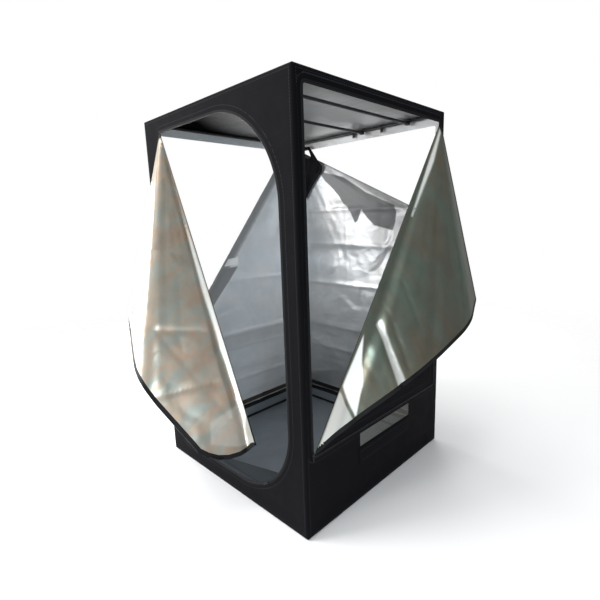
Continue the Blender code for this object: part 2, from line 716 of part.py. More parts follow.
def build_straps(parts, material):
    """Two webbing ties looped round the back rail, each with a short hanging tail."""
    inner = TUBE_RADIUS + TOUCH
    outer = inner + STRAP_THICKNESS
    tail_half = STRAP_THICKNESS / 2
    tail_spread = math.asin(tail_half / outer)
    down = -math.pi / 2
    ring = arc_points((0, 0), outer, down + tail_spread, down + 2 * math.pi - tail_spread, 2 * HOOK_ARC_POINTS)
    tail = [(-tail_half, -outer - STRAP_TAIL), (tail_half, -outer - STRAP_TAIL)]
    hole = arc_points((0, 0), inner, 0.0, 2 * math.pi, 2 * HOOK_ARC_POINTS)[:-1]
    for name, place in (("rail_strap_left", STRAP_PLACE_LEFT), ("rail_strap_right", STRAP_PLACE_RIGHT)):
        strap = flat_piece(name, [ring + tail, hole], STRAP_WIDTH, parts, material)
        turn = Matrix((Vector((0, 1, 0)), Vector((0, 0, 1)), Vector((1, 0, 0)))).transposed()
        strap.matrix_world = Matrix.Translation((place, FRAME_Y, FRAME_HIGH)) @ turn.to_4x4()


def main():
    """Build the whole tent."""
    clear_scene()
    parts, cutters = make_collections()
    materials = make_materials()
    build_frame(parts, materials["frame_tube"])
    build_corners(parts, cutters, materials["corner_plastic"])
    build_hanging_bar("hanging_bar_right", BAR_RIGHT_PLACE, parts, materials)
    build_hanging_bar("hanging_bar_middle", BAR_MIDDLE_PLACE, parts, materials)
    doors = make_doorways()
    spans = {
        "front": TENT_WIDTH / 2,
        "back": TENT_WIDTH / 2,
        "right": TENT_DEPTH / 2 - CLOTH - TOUCH,
        "left": TENT_DEPTH / 2 - CLOTH - TOUCH,
    }
    for door in doors:
        build_wall(door, spans[door.name], parts, materials["cover_cloth"])
        build_door(door, parts, materials["door_cloth"])
        build_zip(door, parts, materials["zip_tape"])
        if door.name == "front":
            build_sill(door, parts, materials["door_cloth"])
        if door.name == "right":
            build_vent(door, parts, materials)
    build_sliders(doors, parts, cutters, materials["slider_metal"])
    build_sheets(parts, materials)
    build_tray(parts, materials["tray_cloth"])
    build_straps(parts, materials["strap_web"])
    bpy.context.view_layer.update()


main()
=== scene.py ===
"""The dressed indoor grow tent: its cloth walls and doors, zips, vent, tray and the finish of its frame.

Everything is in metres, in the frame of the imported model: the origin is the middle of the tent's floor and
the front faces -Y. Each piece of cloth is cut flat first, then hung on its wall or folded out of its doorway.
"""
import logging
import math
from collections.abc import Callable
from dataclasses import dataclass
from enum import Enum

import bpy
import numpy as np
from mathutils import Matrix, Vector, noise
from mathutils.geometry import delaunay_2d_cdt


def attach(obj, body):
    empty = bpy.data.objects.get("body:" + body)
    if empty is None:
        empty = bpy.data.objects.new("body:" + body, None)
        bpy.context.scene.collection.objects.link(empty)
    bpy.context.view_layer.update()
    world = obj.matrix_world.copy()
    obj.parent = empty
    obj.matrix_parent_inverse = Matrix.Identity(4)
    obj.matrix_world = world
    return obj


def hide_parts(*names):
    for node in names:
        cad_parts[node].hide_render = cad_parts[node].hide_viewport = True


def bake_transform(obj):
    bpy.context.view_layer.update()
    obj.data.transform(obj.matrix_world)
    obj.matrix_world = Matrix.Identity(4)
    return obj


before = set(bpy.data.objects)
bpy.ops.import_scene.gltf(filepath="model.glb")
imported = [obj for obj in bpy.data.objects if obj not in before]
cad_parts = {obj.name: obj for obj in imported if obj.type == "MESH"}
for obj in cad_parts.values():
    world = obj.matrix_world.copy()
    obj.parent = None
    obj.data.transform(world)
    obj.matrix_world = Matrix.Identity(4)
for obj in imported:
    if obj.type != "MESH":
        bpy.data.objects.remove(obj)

logging.basicConfig(level=logging.INFO, format="%(message)s")
LOG = logging.getLogger("grow_tent")

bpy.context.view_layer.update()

# The tent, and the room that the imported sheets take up.
TENT_HALF = 0.60
TENT_HEIGHT = 2.00
CLOTH = 0.002
TOUCH = 0.0003
# The cloth as drawn, inside that room, and how it is cut.
WALL_CLOTH = 0.0016
THIN_CLOTH = 0.0015
GRID_STEP = 0.011
CRISP_BLUR = 0.013
TILT_OFFSET = Vector((9.321, -1.531, -7.951))
# How a sheet's edge goes round the frame tubes, and the lines that its roundness follows.
EDGE_ROUNDING = 0.0150
EDGE_LINES = (0.004, 0.008, 0.0125)
# Zips, the taped edge of a loose door, and the clearances round the folds.
ZIP_WIDTH = 0.014
ZIP_SETBACK = 0.001
EDGE_BAND = 0.021
PIPING = 0.0046
DOOR_INSET = 0.0025
FOLD_GAP = 0.0006
HEM_GAP = 0.003
SMOOTH_ANGLE = math.radians(40)


class Side(Enum):
    """Which side of a sheet of cloth a face is on."""

    OUTSIDE = 0
    LINING = 1
    TAPE = 2


# Small helpers


def linear(colour: str) -> tuple[float, float, float, float]:
    """Turn an sRGB hex colour into linear light.

    Args:
        colour: Six hex digits, with or without a leading hash.

    Returns:
        Red, green, blue and an alpha of one.
    """
    digits = colour.lstrip("#")
    parts = [int(digits[place:place + 2], 16) / 255 for place in (0, 2, 4)]
    light = [part / 12.92 if part <= 0.04045 else ((part + 0.055) / 1.055) ** 2.4 for part in parts]
    return (light[0], light[1], light[2], 1.0)


def set_inputs(tree: bpy.types.NodeTree, node: bpy.types.Node, inputs: dict) -> None:
    """Set a node's inputs.

    Args:
        tree: The node tree that holds the node.
        node: The node.
        inputs: Input name or number, with a value, an output socket or a node, for its first output.
    """
    for name, value in inputs.items():
        value = value.outputs[0] if isinstance(value, bpy.types.Node) else value
        if isinstance(value, bpy.types.NodeSocket):
            tree.links.new(value, node.inputs[name])
        else:
            node.inputs[name].default_value = value


def add_node(tree: bpy.types.NodeTree, kind: str, inputs: dict | None = None, **settings: object) -> bpy.types.Node:
    """Add one node with its settings and inputs.

    Args:
        tree: The node tree that gets the node.
        kind: Blender's name for the kind of node, after its ShaderNode.
        inputs: What set_inputs gives the node.
        settings: The node's own settings by name.

    Returns:
        The new node.
    """
    node = tree.nodes.new(f"ShaderNode{kind}")
    for name, value in settings.items():
        setattr(node, name, value)
    set_inputs(tree, node, inputs or {})
    return node


def band_scale(spacing_mm: float) -> float:
    """Return the scale that gives a wave texture's bands this spacing.

    Args:
        spacing_mm: The distance from one band to the next, in millimetres.
    """
    return math.tau / 20 / (spacing_mm / 1000)


def smooth_step(value: np.ndarray, low: float, high: float) -> np.ndarray:
    """Rise smoothly from 0 at low to 1 at high."""
    share = np.clip((value - low) / (high - low), 0.0, 1.0)
    return share * share * (3 - 2 * share)


def unit(vectors: np.ndarray) -> np.ndarray:
    """Return the vectors at length one."""
    return vectors / np.maximum(np.linalg.norm(vectors, axis=-1, keepdims=True), 1e-12)


def deselect_all() -> None:
    """Leave nothing selected and nothing active, so that an operator acts on its own piece only."""
    for item in bpy.context.selected_objects:
        item.select_set(False)
    bpy.context.view_layer.objects.active = None


def make_active(item: bpy.types.Object) -> None:
    """Select one object alone and make it the active one."""
    deselect_all()
    item.select_set(True)
    bpy.context.view_layer.objects.active = item


def points_of(item: bpy.types.Object) -> np.ndarray:
    """Return where a piece's points are."""
    places = np.zeros(len(item.data.vertices) * 3)
    item.data.vertices.foreach_get("co", places)
    return places.reshape(-1, 3)


def apply_all(item: bpy.types.Object) -> None:
    """Apply an object's modifiers in their order, and its place, turn and scale before them."""
    make_active(item)
    bpy.ops.object.transform_apply(location=True, rotation=True, scale=True)
    for modifier in list(item.modifiers):
        bpy.ops.object.modifier_apply(modifier=modifier.name)


def face_outwards(item: bpy.types.Object) -> None:
    """Turn all of a piece's faces the same way, outwards."""
    make_active(item)
    bpy.ops.object.mode_set(mode="EDIT")
    bpy.ops.mesh.select_all(action="SELECT")
    bpy.ops.mesh.normals_make_consistent(inside=False)
    bpy.ops.object.mode_set(mode="OBJECT")


def thicken(item: bpy.types.Object, wall: float) -> None:
    """Give a surface a wall, half of it on each side, and smooth its gentle edges."""
    thick = item.modifiers.new("wall", "SOLIDIFY")
    thick.thickness = wall
    thick.offset = 0
    apply_all(item)
    bpy.ops.object.shade_smooth_by_angle(angle=SMOOTH_ANGLE)


def add_object(name: str, data: bpy.types.ID) -> bpy.types.Object:
    """Put a new object with its data in the scene."""
    item = bpy.data.objects.new(name, data)
    bpy.context.scene.collection.objects.link(item)
    return item


def settle(item: bpy.types.Object, material: bpy.types.Material | None, slot: str, *nodes: str,
           body: str = "tent") -> None:
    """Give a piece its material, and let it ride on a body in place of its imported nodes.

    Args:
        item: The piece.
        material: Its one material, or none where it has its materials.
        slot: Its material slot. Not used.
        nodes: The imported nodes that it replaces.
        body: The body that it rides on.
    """
    if material:
        item.data.materials.clear()
        item.data.materials.append(material)
    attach(item, body)
    if nodes:
        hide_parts(*nodes)


def noise_field(flat: np.ndarray, across: float, up: float, seed: float, slant: float = 0.0) -> np.ndarray:
    """Return smooth noise from -1 to 1 at each flat point, by its frequency across and up."""
    return np.array([noise.noise(Vector((p[0] * across + p[1] * slant, p[1] * up, seed))) for p in flat])


# Flat outlines


def arc_points(centre: tuple, radius: float, start: float, end: float, count: int) -> list[tuple]:
    """Return points on an arc, both ends included."""
    angles = [start + (end - start) * step / (count - 1) for step in range(count)]
    return [(centre[0] + radius * math.cos(a), centre[1] + radius * math.sin(a)) for a in angles]


def rounded_outline(low: tuple, high: tuple, radii: tuple, counts: tuple) -> list[tuple]:
    """Return a rectangle with round corners, anticlockwise from its lower left corner.

    Args:
        low: The lower left corner.
        high: The upper right corner.
        radii: The radius at each corner, zero for a sharp one.
        counts: How many points each round corner has.
    """
    corners = [((low[0], low[1]), (1, 1), math.pi), ((high[0], low[1]), (-1, 1), 1.5 * math.pi),
               ((high[0], high[1]), (-1, -1), 0.0), ((low[0], high[1]), (1, -1), 0.5 * math.pi)]
    points: list[tuple] = []
    for (corner, inward, start), radius, count in zip(corners, radii, counts):
        if radius <= 0:
            points.append(corner)
            continue
        centre = (corner[0] + inward[0] * radius, corner[1] + inward[1] * radius)
        points.extend(arc_points(centre, radius, start, start + math.pi / 2, count))
    return points


def rectangle(low: tuple, high: tuple, inset: float = 0.0) -> list[tuple]:
    """Return a rectangle's corners, anticlockwise from its lower left one."""
    return rounded_outline((low[0] + inset, low[1] + inset), (high[0] - inset, high[1] - inset), (0,) * 4, (1,) * 4)


def clip_outline(points: list[tuple], origin: tuple, inside: tuple) -> list[tuple]:
    """Return the part of a convex outline that lies on the side of a line where inside points."""
    kept = []
    for index, here in enumerate(points):
        before = points[index - 1]
        here_side = (here[0] - origin[0]) * inside[0] + (here[1] - origin[1]) * inside[1]
        before_side = (before[0] - origin[0]) * inside[0] + (before[1] - origin[1]) * inside[1]
        if here_side * before_side < 0:
            part = before_side / (before_side - here_side)
            kept.append(tuple(before[axis] + (here[axis] - before[axis]) * part for axis in (0, 1)))
        if here_side >= 0:
            kept.append(here)
    return kept


def spaced(points: list[tuple], step: float, closed: bool = True) -> np.ndarray:
    """Return a line's points with more added, so that no two neighbours are further apart than step."""
    ends = points + points[:1] if closed else points
    found = []
    for here, there in zip(ends, ends[1:]):
        count = max(1, math.ceil(math.dist(here, there) / step - 1e-6))
        for index in range(count):
            share = index / count
            found.append((here[0] + (there[0] - here[0]) * share, here[1] + (there[1] - here[1]) * share))
    if not closed:
        found.append(ends[-1])
    return np.array(found, float)


def inside_outline(points: np.ndarray, outline: list[tuple] | np.ndarray) -> np.ndarray:
    """Say for each point whether it lies inside an outline."""
    shape = np.asarray(outline, float)
    found = np.zeros(len(points), bool)
    for here, there in zip(shape, np.roll(shape, -1, axis=0)):
        crosses = (here[1] > points[:, 1]) != (there[1] > points[:, 1])
        if abs(there[1] - here[1]) > 1e-12:
            at = here[0] + (points[:, 1] - here[1]) * (there[0] - here[0]) / (there[1] - here[1])
            found ^= crosses & (points[:, 0] < at)
    return found


def gap_to_line(points: np.ndarray, line: list[tuple] | np.ndarray, closed: bool = True) -> np.ndarray:
    """Return each point's distance from a line of straight runs."""
    shape = np.asarray(line, float)
    ends = np.roll(shape, -1, axis=0) if closed else shape[1:]
    starts = shape if closed else shape[:-1]
    found = np.full(len(points), 1e9)
    for here, there in zip(starts, ends):
        run = there - here
        length = run @ run
        if length < 1e-16:
            continue
        share = np.clip((points - here) @ run / length, 0, 1)
        found = np.minimum(found, np.linalg.norm(points - here - share[:, None] * run, axis=1))
    return found


def anticlockwise(outline: np.ndarray) -> np.ndarray:
    """Return a closed line's points in anticlockwise order."""
    after = np.roll(outline, -1, axis=0)
    return outline if np.sum(outline[:, 0] * after[:, 1] - after[:, 0] * outline[:, 1]) > 0 else outline[::-1]


def inset_line(outline: np.ndarray, distance: float) -> np.ndarray:
    """Return a line inside an anticlockwise outline, at a distance from it, without the points that fold over."""
    tangent = unit(np.roll(outline, -1, axis=0) - np.roll(outline, 1, axis=0))
    inner = outline + distance * np.stack([-tangent[:, 1], tangent[:, 0]], axis=1)
    return inner[gap_to_line(inner, outline) > 0.97 * distance]


@dataclass
class Pattern:
    """A flat piece of cloth: its points and the triangles between them."""

    points: np.ndarray
    triangles: np.ndarray

    @staticmethod
    def cut(outlines: list, keep: Callable[[np.ndarray], np.ndarray] | None = None, step: float = GRID_STEP,
            lines: tuple = ()) -> "Pattern":
        """Cut cloth along outlines, with an even grid of points between them.

        Args:
            outlines: Closed lines that the cloth's edges and cuts follow.
            keep: Says for an array of points which of them are cloth: by default those inside the first outline.
            step: The grid's spacing, and the furthest that neighbours on an outline are apart.
            lines: Closed or open lines that triangles follow too, each with whether it is closed.
        """
        keep = keep or (lambda points: inside_outline(points, outlines[0]))
        every = [(np.asarray(line, float), True) for line in outlines] + [
            (np.asarray(line, float), closed) for line, closed in lines]
        low = np.min([line.min(axis=0) for line, _ in every], axis=0)
        high = np.max([line.max(axis=0) for line, _ in every], axis=0)
        counts = np.maximum(np.ceil((high - low) / step).astype(int), 1)
        across = np.linspace(low[0], high[0], counts[0] + 1)
        up = np.linspace(low[1], high[1], counts[1] + 1)
        grid = np.stack(np.meshgrid(across, up), axis=-1).reshape(-1, 2)
        free = keep(grid)
        for line, closed in every:
            free &= gap_to_line(grid, line, closed) > 0.45 * step
        points = list(map(tuple, grid[free]))
        edges = []
        for line, closed in every:
            first = len(points)
            dense = spaced(list(map(tuple, line)), step, closed)
            points.extend(map(tuple, dense))
            edges.extend((first + i, first + i + 1) for i in range(len(dense) - 1))
            if closed:
                edges.append((first + len(dense) - 1, first))
        made = delaunay_2d_cdt([Vector(p) for p in points], edges, [], 0, 1e-6)
        flat = np.array([tuple(p) for p in made[0]], float)
        triangles = np.array([face for face in made[2] if len(face) == 3], int)
        whole = Pattern(flat, triangles)
        area = whole.doubled_areas()
        kept = keep(whole.middles()) & (np.abs(area) > 1e-10)
        turned = kept & (area < 0)
        triangles[turned] = triangles[turned][:, ::-1]
        return whole.part(kept)[0]

    def doubled_areas(self) -> np.ndarray:
        """Return twice the area of each triangle, below zero where it runs clockwise."""
        sides = self.points[self.triangles]
        span = sides[:, 1:] - sides[:, :1]
        return span[:, 0, 0] * span[:, 1, 1] - span[:, 0, 1] * span[:, 1, 0]

    def middles(self) -> np.ndarray:
        """Return the middle of each triangle."""
        return self.points[self.triangles].mean(axis=1)

    def part(self, chosen: np.ndarray) -> tuple["Pattern", np.ndarray]:
        """Return the chosen triangles as a cloth of their own, and which points they use."""
        used, renumbered = np.unique(self.triangles[chosen], return_inverse=True)
        return Pattern(self.points[used], renumbered.reshape(-1, 3)), used

    def area(self) -> float:
        """Return the cloth's flat area in square metres."""
        return float(np.abs(self.doubled_areas()).sum() / 2)

    def size(self) -> tuple[float, float]:
        """Return the width and length of the rectangle the cloth is cut from."""
        width, length = self.points.max(axis=0) - self.points.min(axis=0)
        return float(width), float(length)


def point_normals(points: np.ndarray, triangles: np.ndarray) -> np.ndarray:
    """Return the normal at each point, as the mean of its triangles by their area."""
    sides = points[triangles]
    face = np.cross(sides[:, 1] - sides[:, 0], sides[:, 2] - sides[:, 0])
    found = np.zeros_like(points)
    for corner in range(3):
        np.add.at(found, triangles[:, corner], face)
    return unit(found)


@dataclass
class Cloth:
    """One sheet of cloth in its place, with a black woven outside and a silver lining."""

    name: str
    pattern: Pattern
    points: np.ndarray
    edge_gap: np.ndarray
    thickness: float | np.ndarray = THIN_CLOTH
    tape: bool | np.ndarray = False
    shade: float | np.ndarray = 0.0
    normals: np.ndarray | None = None
    drop: float = 0.0

    def build(self, materials: list[bpy.types.Material]) -> bpy.types.Object:
        """Give the sheet its thickness and edges, and make it an object.

        Args:
            materials: What the outside, the lining and the tape are made of.

        Returns:
            The new object, at the origin.
        """
        triangles = self.pattern.triangles
        count = len(self.points)
        tape = np.broadcast_to(self.tape, len(triangles))
        upright = point_normals(self.points, triangles) if self.normals is None else self.normals
        half = np.broadcast_to(self.thickness, count)[:, None] / 2
        middle = self.points - upright * self.drop
        places = np.vstack([middle + upright * half, middle - upright * half])
        runs = np.vstack([triangles[:, [0, 1]], triangles[:, [1, 2]], triangles[:, [2, 0]]])
        seen = {tuple(run) for run in runs}
        rim = [(a, b, taped) for (a, b), taped in zip(runs, np.tile(tape, 3)) if (b, a) not in seen]
        rim_faces = np.array([(b, a, a + count, b + count) for a, b, _ in rim], int)
        faces = triangles.tolist() + (triangles[:, ::-1] + count).tolist() + rim_faces.tolist()
        mesh = bpy.data.meshes.new(self.name)
        mesh.from_pydata(places.tolist(), [], faces)
        kinds = np.concatenate([
            np.where(tape, Side.TAPE.value, Side.OUTSIDE.value), np.where(tape, Side.TAPE.value, Side.LINING.value),
            np.array([Side.TAPE.value if taped else Side.OUTSIDE.value for _, _, taped in rim], int)])
        for material in materials:
            mesh.materials.append(material)
        mesh.polygons.foreach_set("material_index", np.minimum(kinds, len(materials) - 1).astype(np.int32))
        mesh.polygons.foreach_set("use_smooth", np.ones(len(faces), bool))
        corner_points = np.zeros(len(mesh.loops), np.int32)
        mesh.loops.foreach_get("vertex_index", corner_points)
        flat = np.tile(self.pattern.points, (2, 1))[corner_points]
        mesh.uv_layers.new(name="cloth").data.foreach_set("uv", flat.astype(np.float32).ravel())
        # shade is painted shade, and a painted highlight where it is below zero.
        for name, values in (("edge_gap", self.edge_gap), ("shade", np.broadcast_to(self.shade, count))):
            mesh.attributes.new(name, "FLOAT", "POINT").data.foreach_set("value", np.tile(values, 2).astype(np.float32))
        normals = np.vstack([upright, -upright])[corner_points]
        corners = places[rim_faces]
        outward = unit(np.cross(corners[:, 2] - corners[:, 0], corners[:, 3] - corners[:, 1]))
        normals[6 * len(triangles):] = np.repeat(outward, 4, axis=0)
        mesh.normals_split_custom_set(normals.tolist())
        return add_object(self.name, mesh)

    def hang(self, materials: list[bpy.types.Material], slot: str, *nodes: str, body: str = "tent",
             flat: tuple | None = None, held: str = "hung", rests_on: list[str]) -> bpy.types.Object:
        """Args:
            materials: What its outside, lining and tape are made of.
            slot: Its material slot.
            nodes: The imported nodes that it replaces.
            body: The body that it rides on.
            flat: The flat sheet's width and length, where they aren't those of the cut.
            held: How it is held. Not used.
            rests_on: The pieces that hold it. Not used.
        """
        item = self.build(materials)
        settle(item, None, slot, *nodes, body=body)
        flat or self.pattern.size()
        self.pattern.area()
        LOG.info("%s: %.3f square metres of cloth", item.name, self.pattern.area())
        return item


@dataclass(frozen=True)
class Crease:
    """One crease in flat cloth: a line where it is pinched up, and how high and wide."""

    start: tuple
    end: tuple
    height: float
    width: float = 0.012

    def lift(self, flat: np.ndarray) -> np.ndarray:
        """Return how far each flat point stands off its plane. The ridge fades at its ends."""
        start, run = np.array(self.start), np.array(self.end) - np.array(self.start)
        length = float(np.linalg.norm(run))
        along = (flat - start) @ run / length ** 2
        side = (flat - start) @ np.array((-run[1], run[0])) / length
        ends = smooth_step(along, -0.12, 0.12) * smooth_step(1 - along, -0.12, 0.12)
        return self.height * np.exp(-np.abs(side) / self.width) * ends


@dataclass(frozen=True)
class Bend:
    """A stiff three-cornered facet between creases: its flat corners, and how far each stands off the plane."""

    corners: tuple
    lifts: tuple

    def lift(self, flat: np.ndarray) -> np.ndarray:
        """Return how far each flat point stands off its plane, and zero outside the facet."""
        first, second, third = (np.array(corner, float) for corner in self.corners)
        edges = np.column_stack([second - first, third - first])
        shares = (flat - first) @ np.linalg.inv(edges).T
        rest = 1 - shares.sum(axis=1)
        inside = (shares.min(axis=1) >= 0) & (rest >= 0)
        return np.where(inside, rest * self.lifts[0] + shares @ np.array(self.lifts[1:]), 0.0)


@dataclass(frozen=True)
class Patch:
    """Part of a lining with painted shade, or with a painted highlight where its shade is below zero."""

    corners: tuple
    shade: float
    blur: float = 0.008

    def amount(self, flat: np.ndarray) -> np.ndarray:
        """Return the shade of each flat point, fading in from the patch's edge."""
        return self.shade * inside_outline(flat, self.corners) * smooth_step(
            gap_to_line(flat, self.corners), 0.0, self.blur)


def patch_lines(patches: tuple[Patch, ...]) -> list[tuple]:
    """Return the lines where the crisp patches start and end their fade, for the cloth's triangles to follow."""
    found = []
    for patch in patches:
        if patch.blur < CRISP_BLUR:
            edge = anticlockwise(spaced(list(patch.corners), GRID_STEP))
            inner = inset_line(edge, patch.blur)
            found += [(edge, True)] + ([(inner, True)] if len(inner) > 2 else [])
    return found


def patch_shade(flat: np.ndarray, patches: tuple[Patch, ...]) -> np.ndarray:
    """Return the shade of each flat point, from the patch that changes it most."""
    found = np.zeros(len(flat))
    for patch in patches:
        shade = patch.amount(flat)
        found = np.where(np.abs(shade) > np.abs(found), shade, found)
    return found


@dataclass
class Crumple:
    """How cloth with a film lining creases: broad bulges, facets, the folds of its packing and pull lines."""

    seed: int
    amount: float = 1.0
    bulge: float = 0.0035
    facet: float = 0.21
    facet_slope: float = 0.030
    small_facet: float = 0.075
    small_slope: float = 0.014
    fold_spacing: float = 0.29
    fold_start: float = 0.07
    fold_depth: float = 0.0026
    fold_width: float = 0.011
    pull: float = 0.0022
    creases: tuple[Crease, ...] = ()
    bends: tuple[Bend, ...] = ()

    def height(self, flat: np.ndarray, corner: tuple = (0.0, 0.0)) -> np.ndarray:
        """Return how far each flat point stands off its plane.

        Args:
            flat: The flat points.
            corner: The flat place that pull lines run out from.
        """
        total = np.zeros(len(flat))
        if self.amount > 0:
            total += self.facets(flat) + self.folds(flat) + self.pulls(flat, corner)
        return total * self.amount

    def shaped(self, flat: np.ndarray) -> np.ndarray:
        """Return how far each flat point stands off its plane for the listed creases and facets."""
        total = np.zeros(len(flat))
        for bend in self.bends:
            lift = bend.lift(flat)
            total = np.where(np.abs(lift) > np.abs(total), lift, total)
        for crease in self.creases:
            total += crease.lift(flat)
        return total

    def facets(self, flat: np.ndarray) -> np.ndarray:
        """Return the bulges and the tilted facets between creases, longer across than up.

        Each facet's tilt comes from two calls of plain noise, because noise_vector changes from run to run.
        """
        total = np.zeros(len(flat))
        kinds = ((self.facet, self.facet_slope, 0.0), (self.small_facet, self.small_slope, 31.7))
        for index, point in enumerate(flat):
            sway = noise.noise(Vector((point[0] * 3.4, point[1] * 3.4, self.seed * 1.9)))
            total[index] = self.bulge * sway
            for size, slope, offset in kinds:
                spot = Vector((point[0] / size * 0.75 + offset + 0.5 * sway, point[1] / size, self.seed * 7.31))
                gaps, cells = noise.voronoi(spot)
                spin = cells[0] * 3.17 + Vector((self.seed, 5.1, 2.3))
                tilt = Vector((noise.noise(spin + TILT_OFFSET), noise.noise(spin)))
                fade = min(max((gaps[1] - gaps[0]) / 0.30, 0.0), 1.0)
                fade *= fade * (3 - 2 * fade)
                off = spot - cells[0]
                total[index] += size * slope * 2.2 * fade * (tilt.x * off.x + tilt.y * off.y)
        return total

    def folds(self, flat: np.ndarray) -> np.ndarray:
        """Return the sharp grid of folds left by the cloth's packing."""
        total = np.zeros(len(flat))
        for axis, start, share in ((1, self.fold_start, 1.0), (0, 0.11, 0.55)):
            place = (flat[:, axis] - start) / self.fold_spacing
            near = np.abs(place - np.round(place)) * self.fold_spacing
            sign = np.where(np.round(place).astype(int) % 2 == 0, 1.0, -0.7)
            other = flat[:, 1 - axis]
            uneven = 0.75 + 0.35 * np.sin(other * 9.0 + np.round(place) * 2.1 + self.seed)
            total += share * sign * uneven * self.fold_depth * np.exp(-near / self.fold_width)
        return total

    def pulls(self, flat: np.ndarray, corner: tuple) -> np.ndarray:
        """Return the long shallow wrinkles that run out from the corner that the cloth hangs from."""
        away = flat - np.array(corner)
        distance = np.linalg.norm(away, axis=1)
        angle = np.arctan2(away[:, 1], away[:, 0])
        waves = np.array([1 - 2 * abs(noise.noise(Vector((turn * 9.0 + self.seed * 3.7, reach * 0.8, 4.4))))
                          for turn, reach in zip(angle, distance)])
        return self.pull * waves * smooth_step(distance, 0.1, 0.5) * (1 - 0.6 * smooth_step(distance, 0.8, 1.7))


# Doorways and walls


def wrap_edges(flat: np.ndarray, middle: tuple, half: tuple) -> tuple[np.ndarray, np.ndarray, np.ndarray]:
    """Wrap a rectangular sheet's edges round the frame tubes.

    Args:
        flat: The cut points.
        middle: The middle of the sheet.
        half: Half its width and half its length.

    Returns:
        Where each point then lies across the sheet, how far back it is, and its distance from the sheet's edge.
    """
    off = flat - np.array(middle)
    straight = np.array(half) - EDGE_ROUNDING
    past = np.clip((np.abs(off) - straight) / EDGE_ROUNDING, 0, 1) * math.pi / 4
    turned = np.sign(off) * (straight + EDGE_ROUNDING * np.sin(past))
    gap = (np.array(half) - np.abs(off)).min(axis=1)
    near = np.clip((EDGE_ROUNDING - gap) / EDGE_ROUNDING, 0, 1) * math.pi / 4
    rolled = np.array(middle) + np.where(np.abs(off) > straight, turned, off)
    return rolled, EDGE_ROUNDING * (1 - np.cos(near)), gap


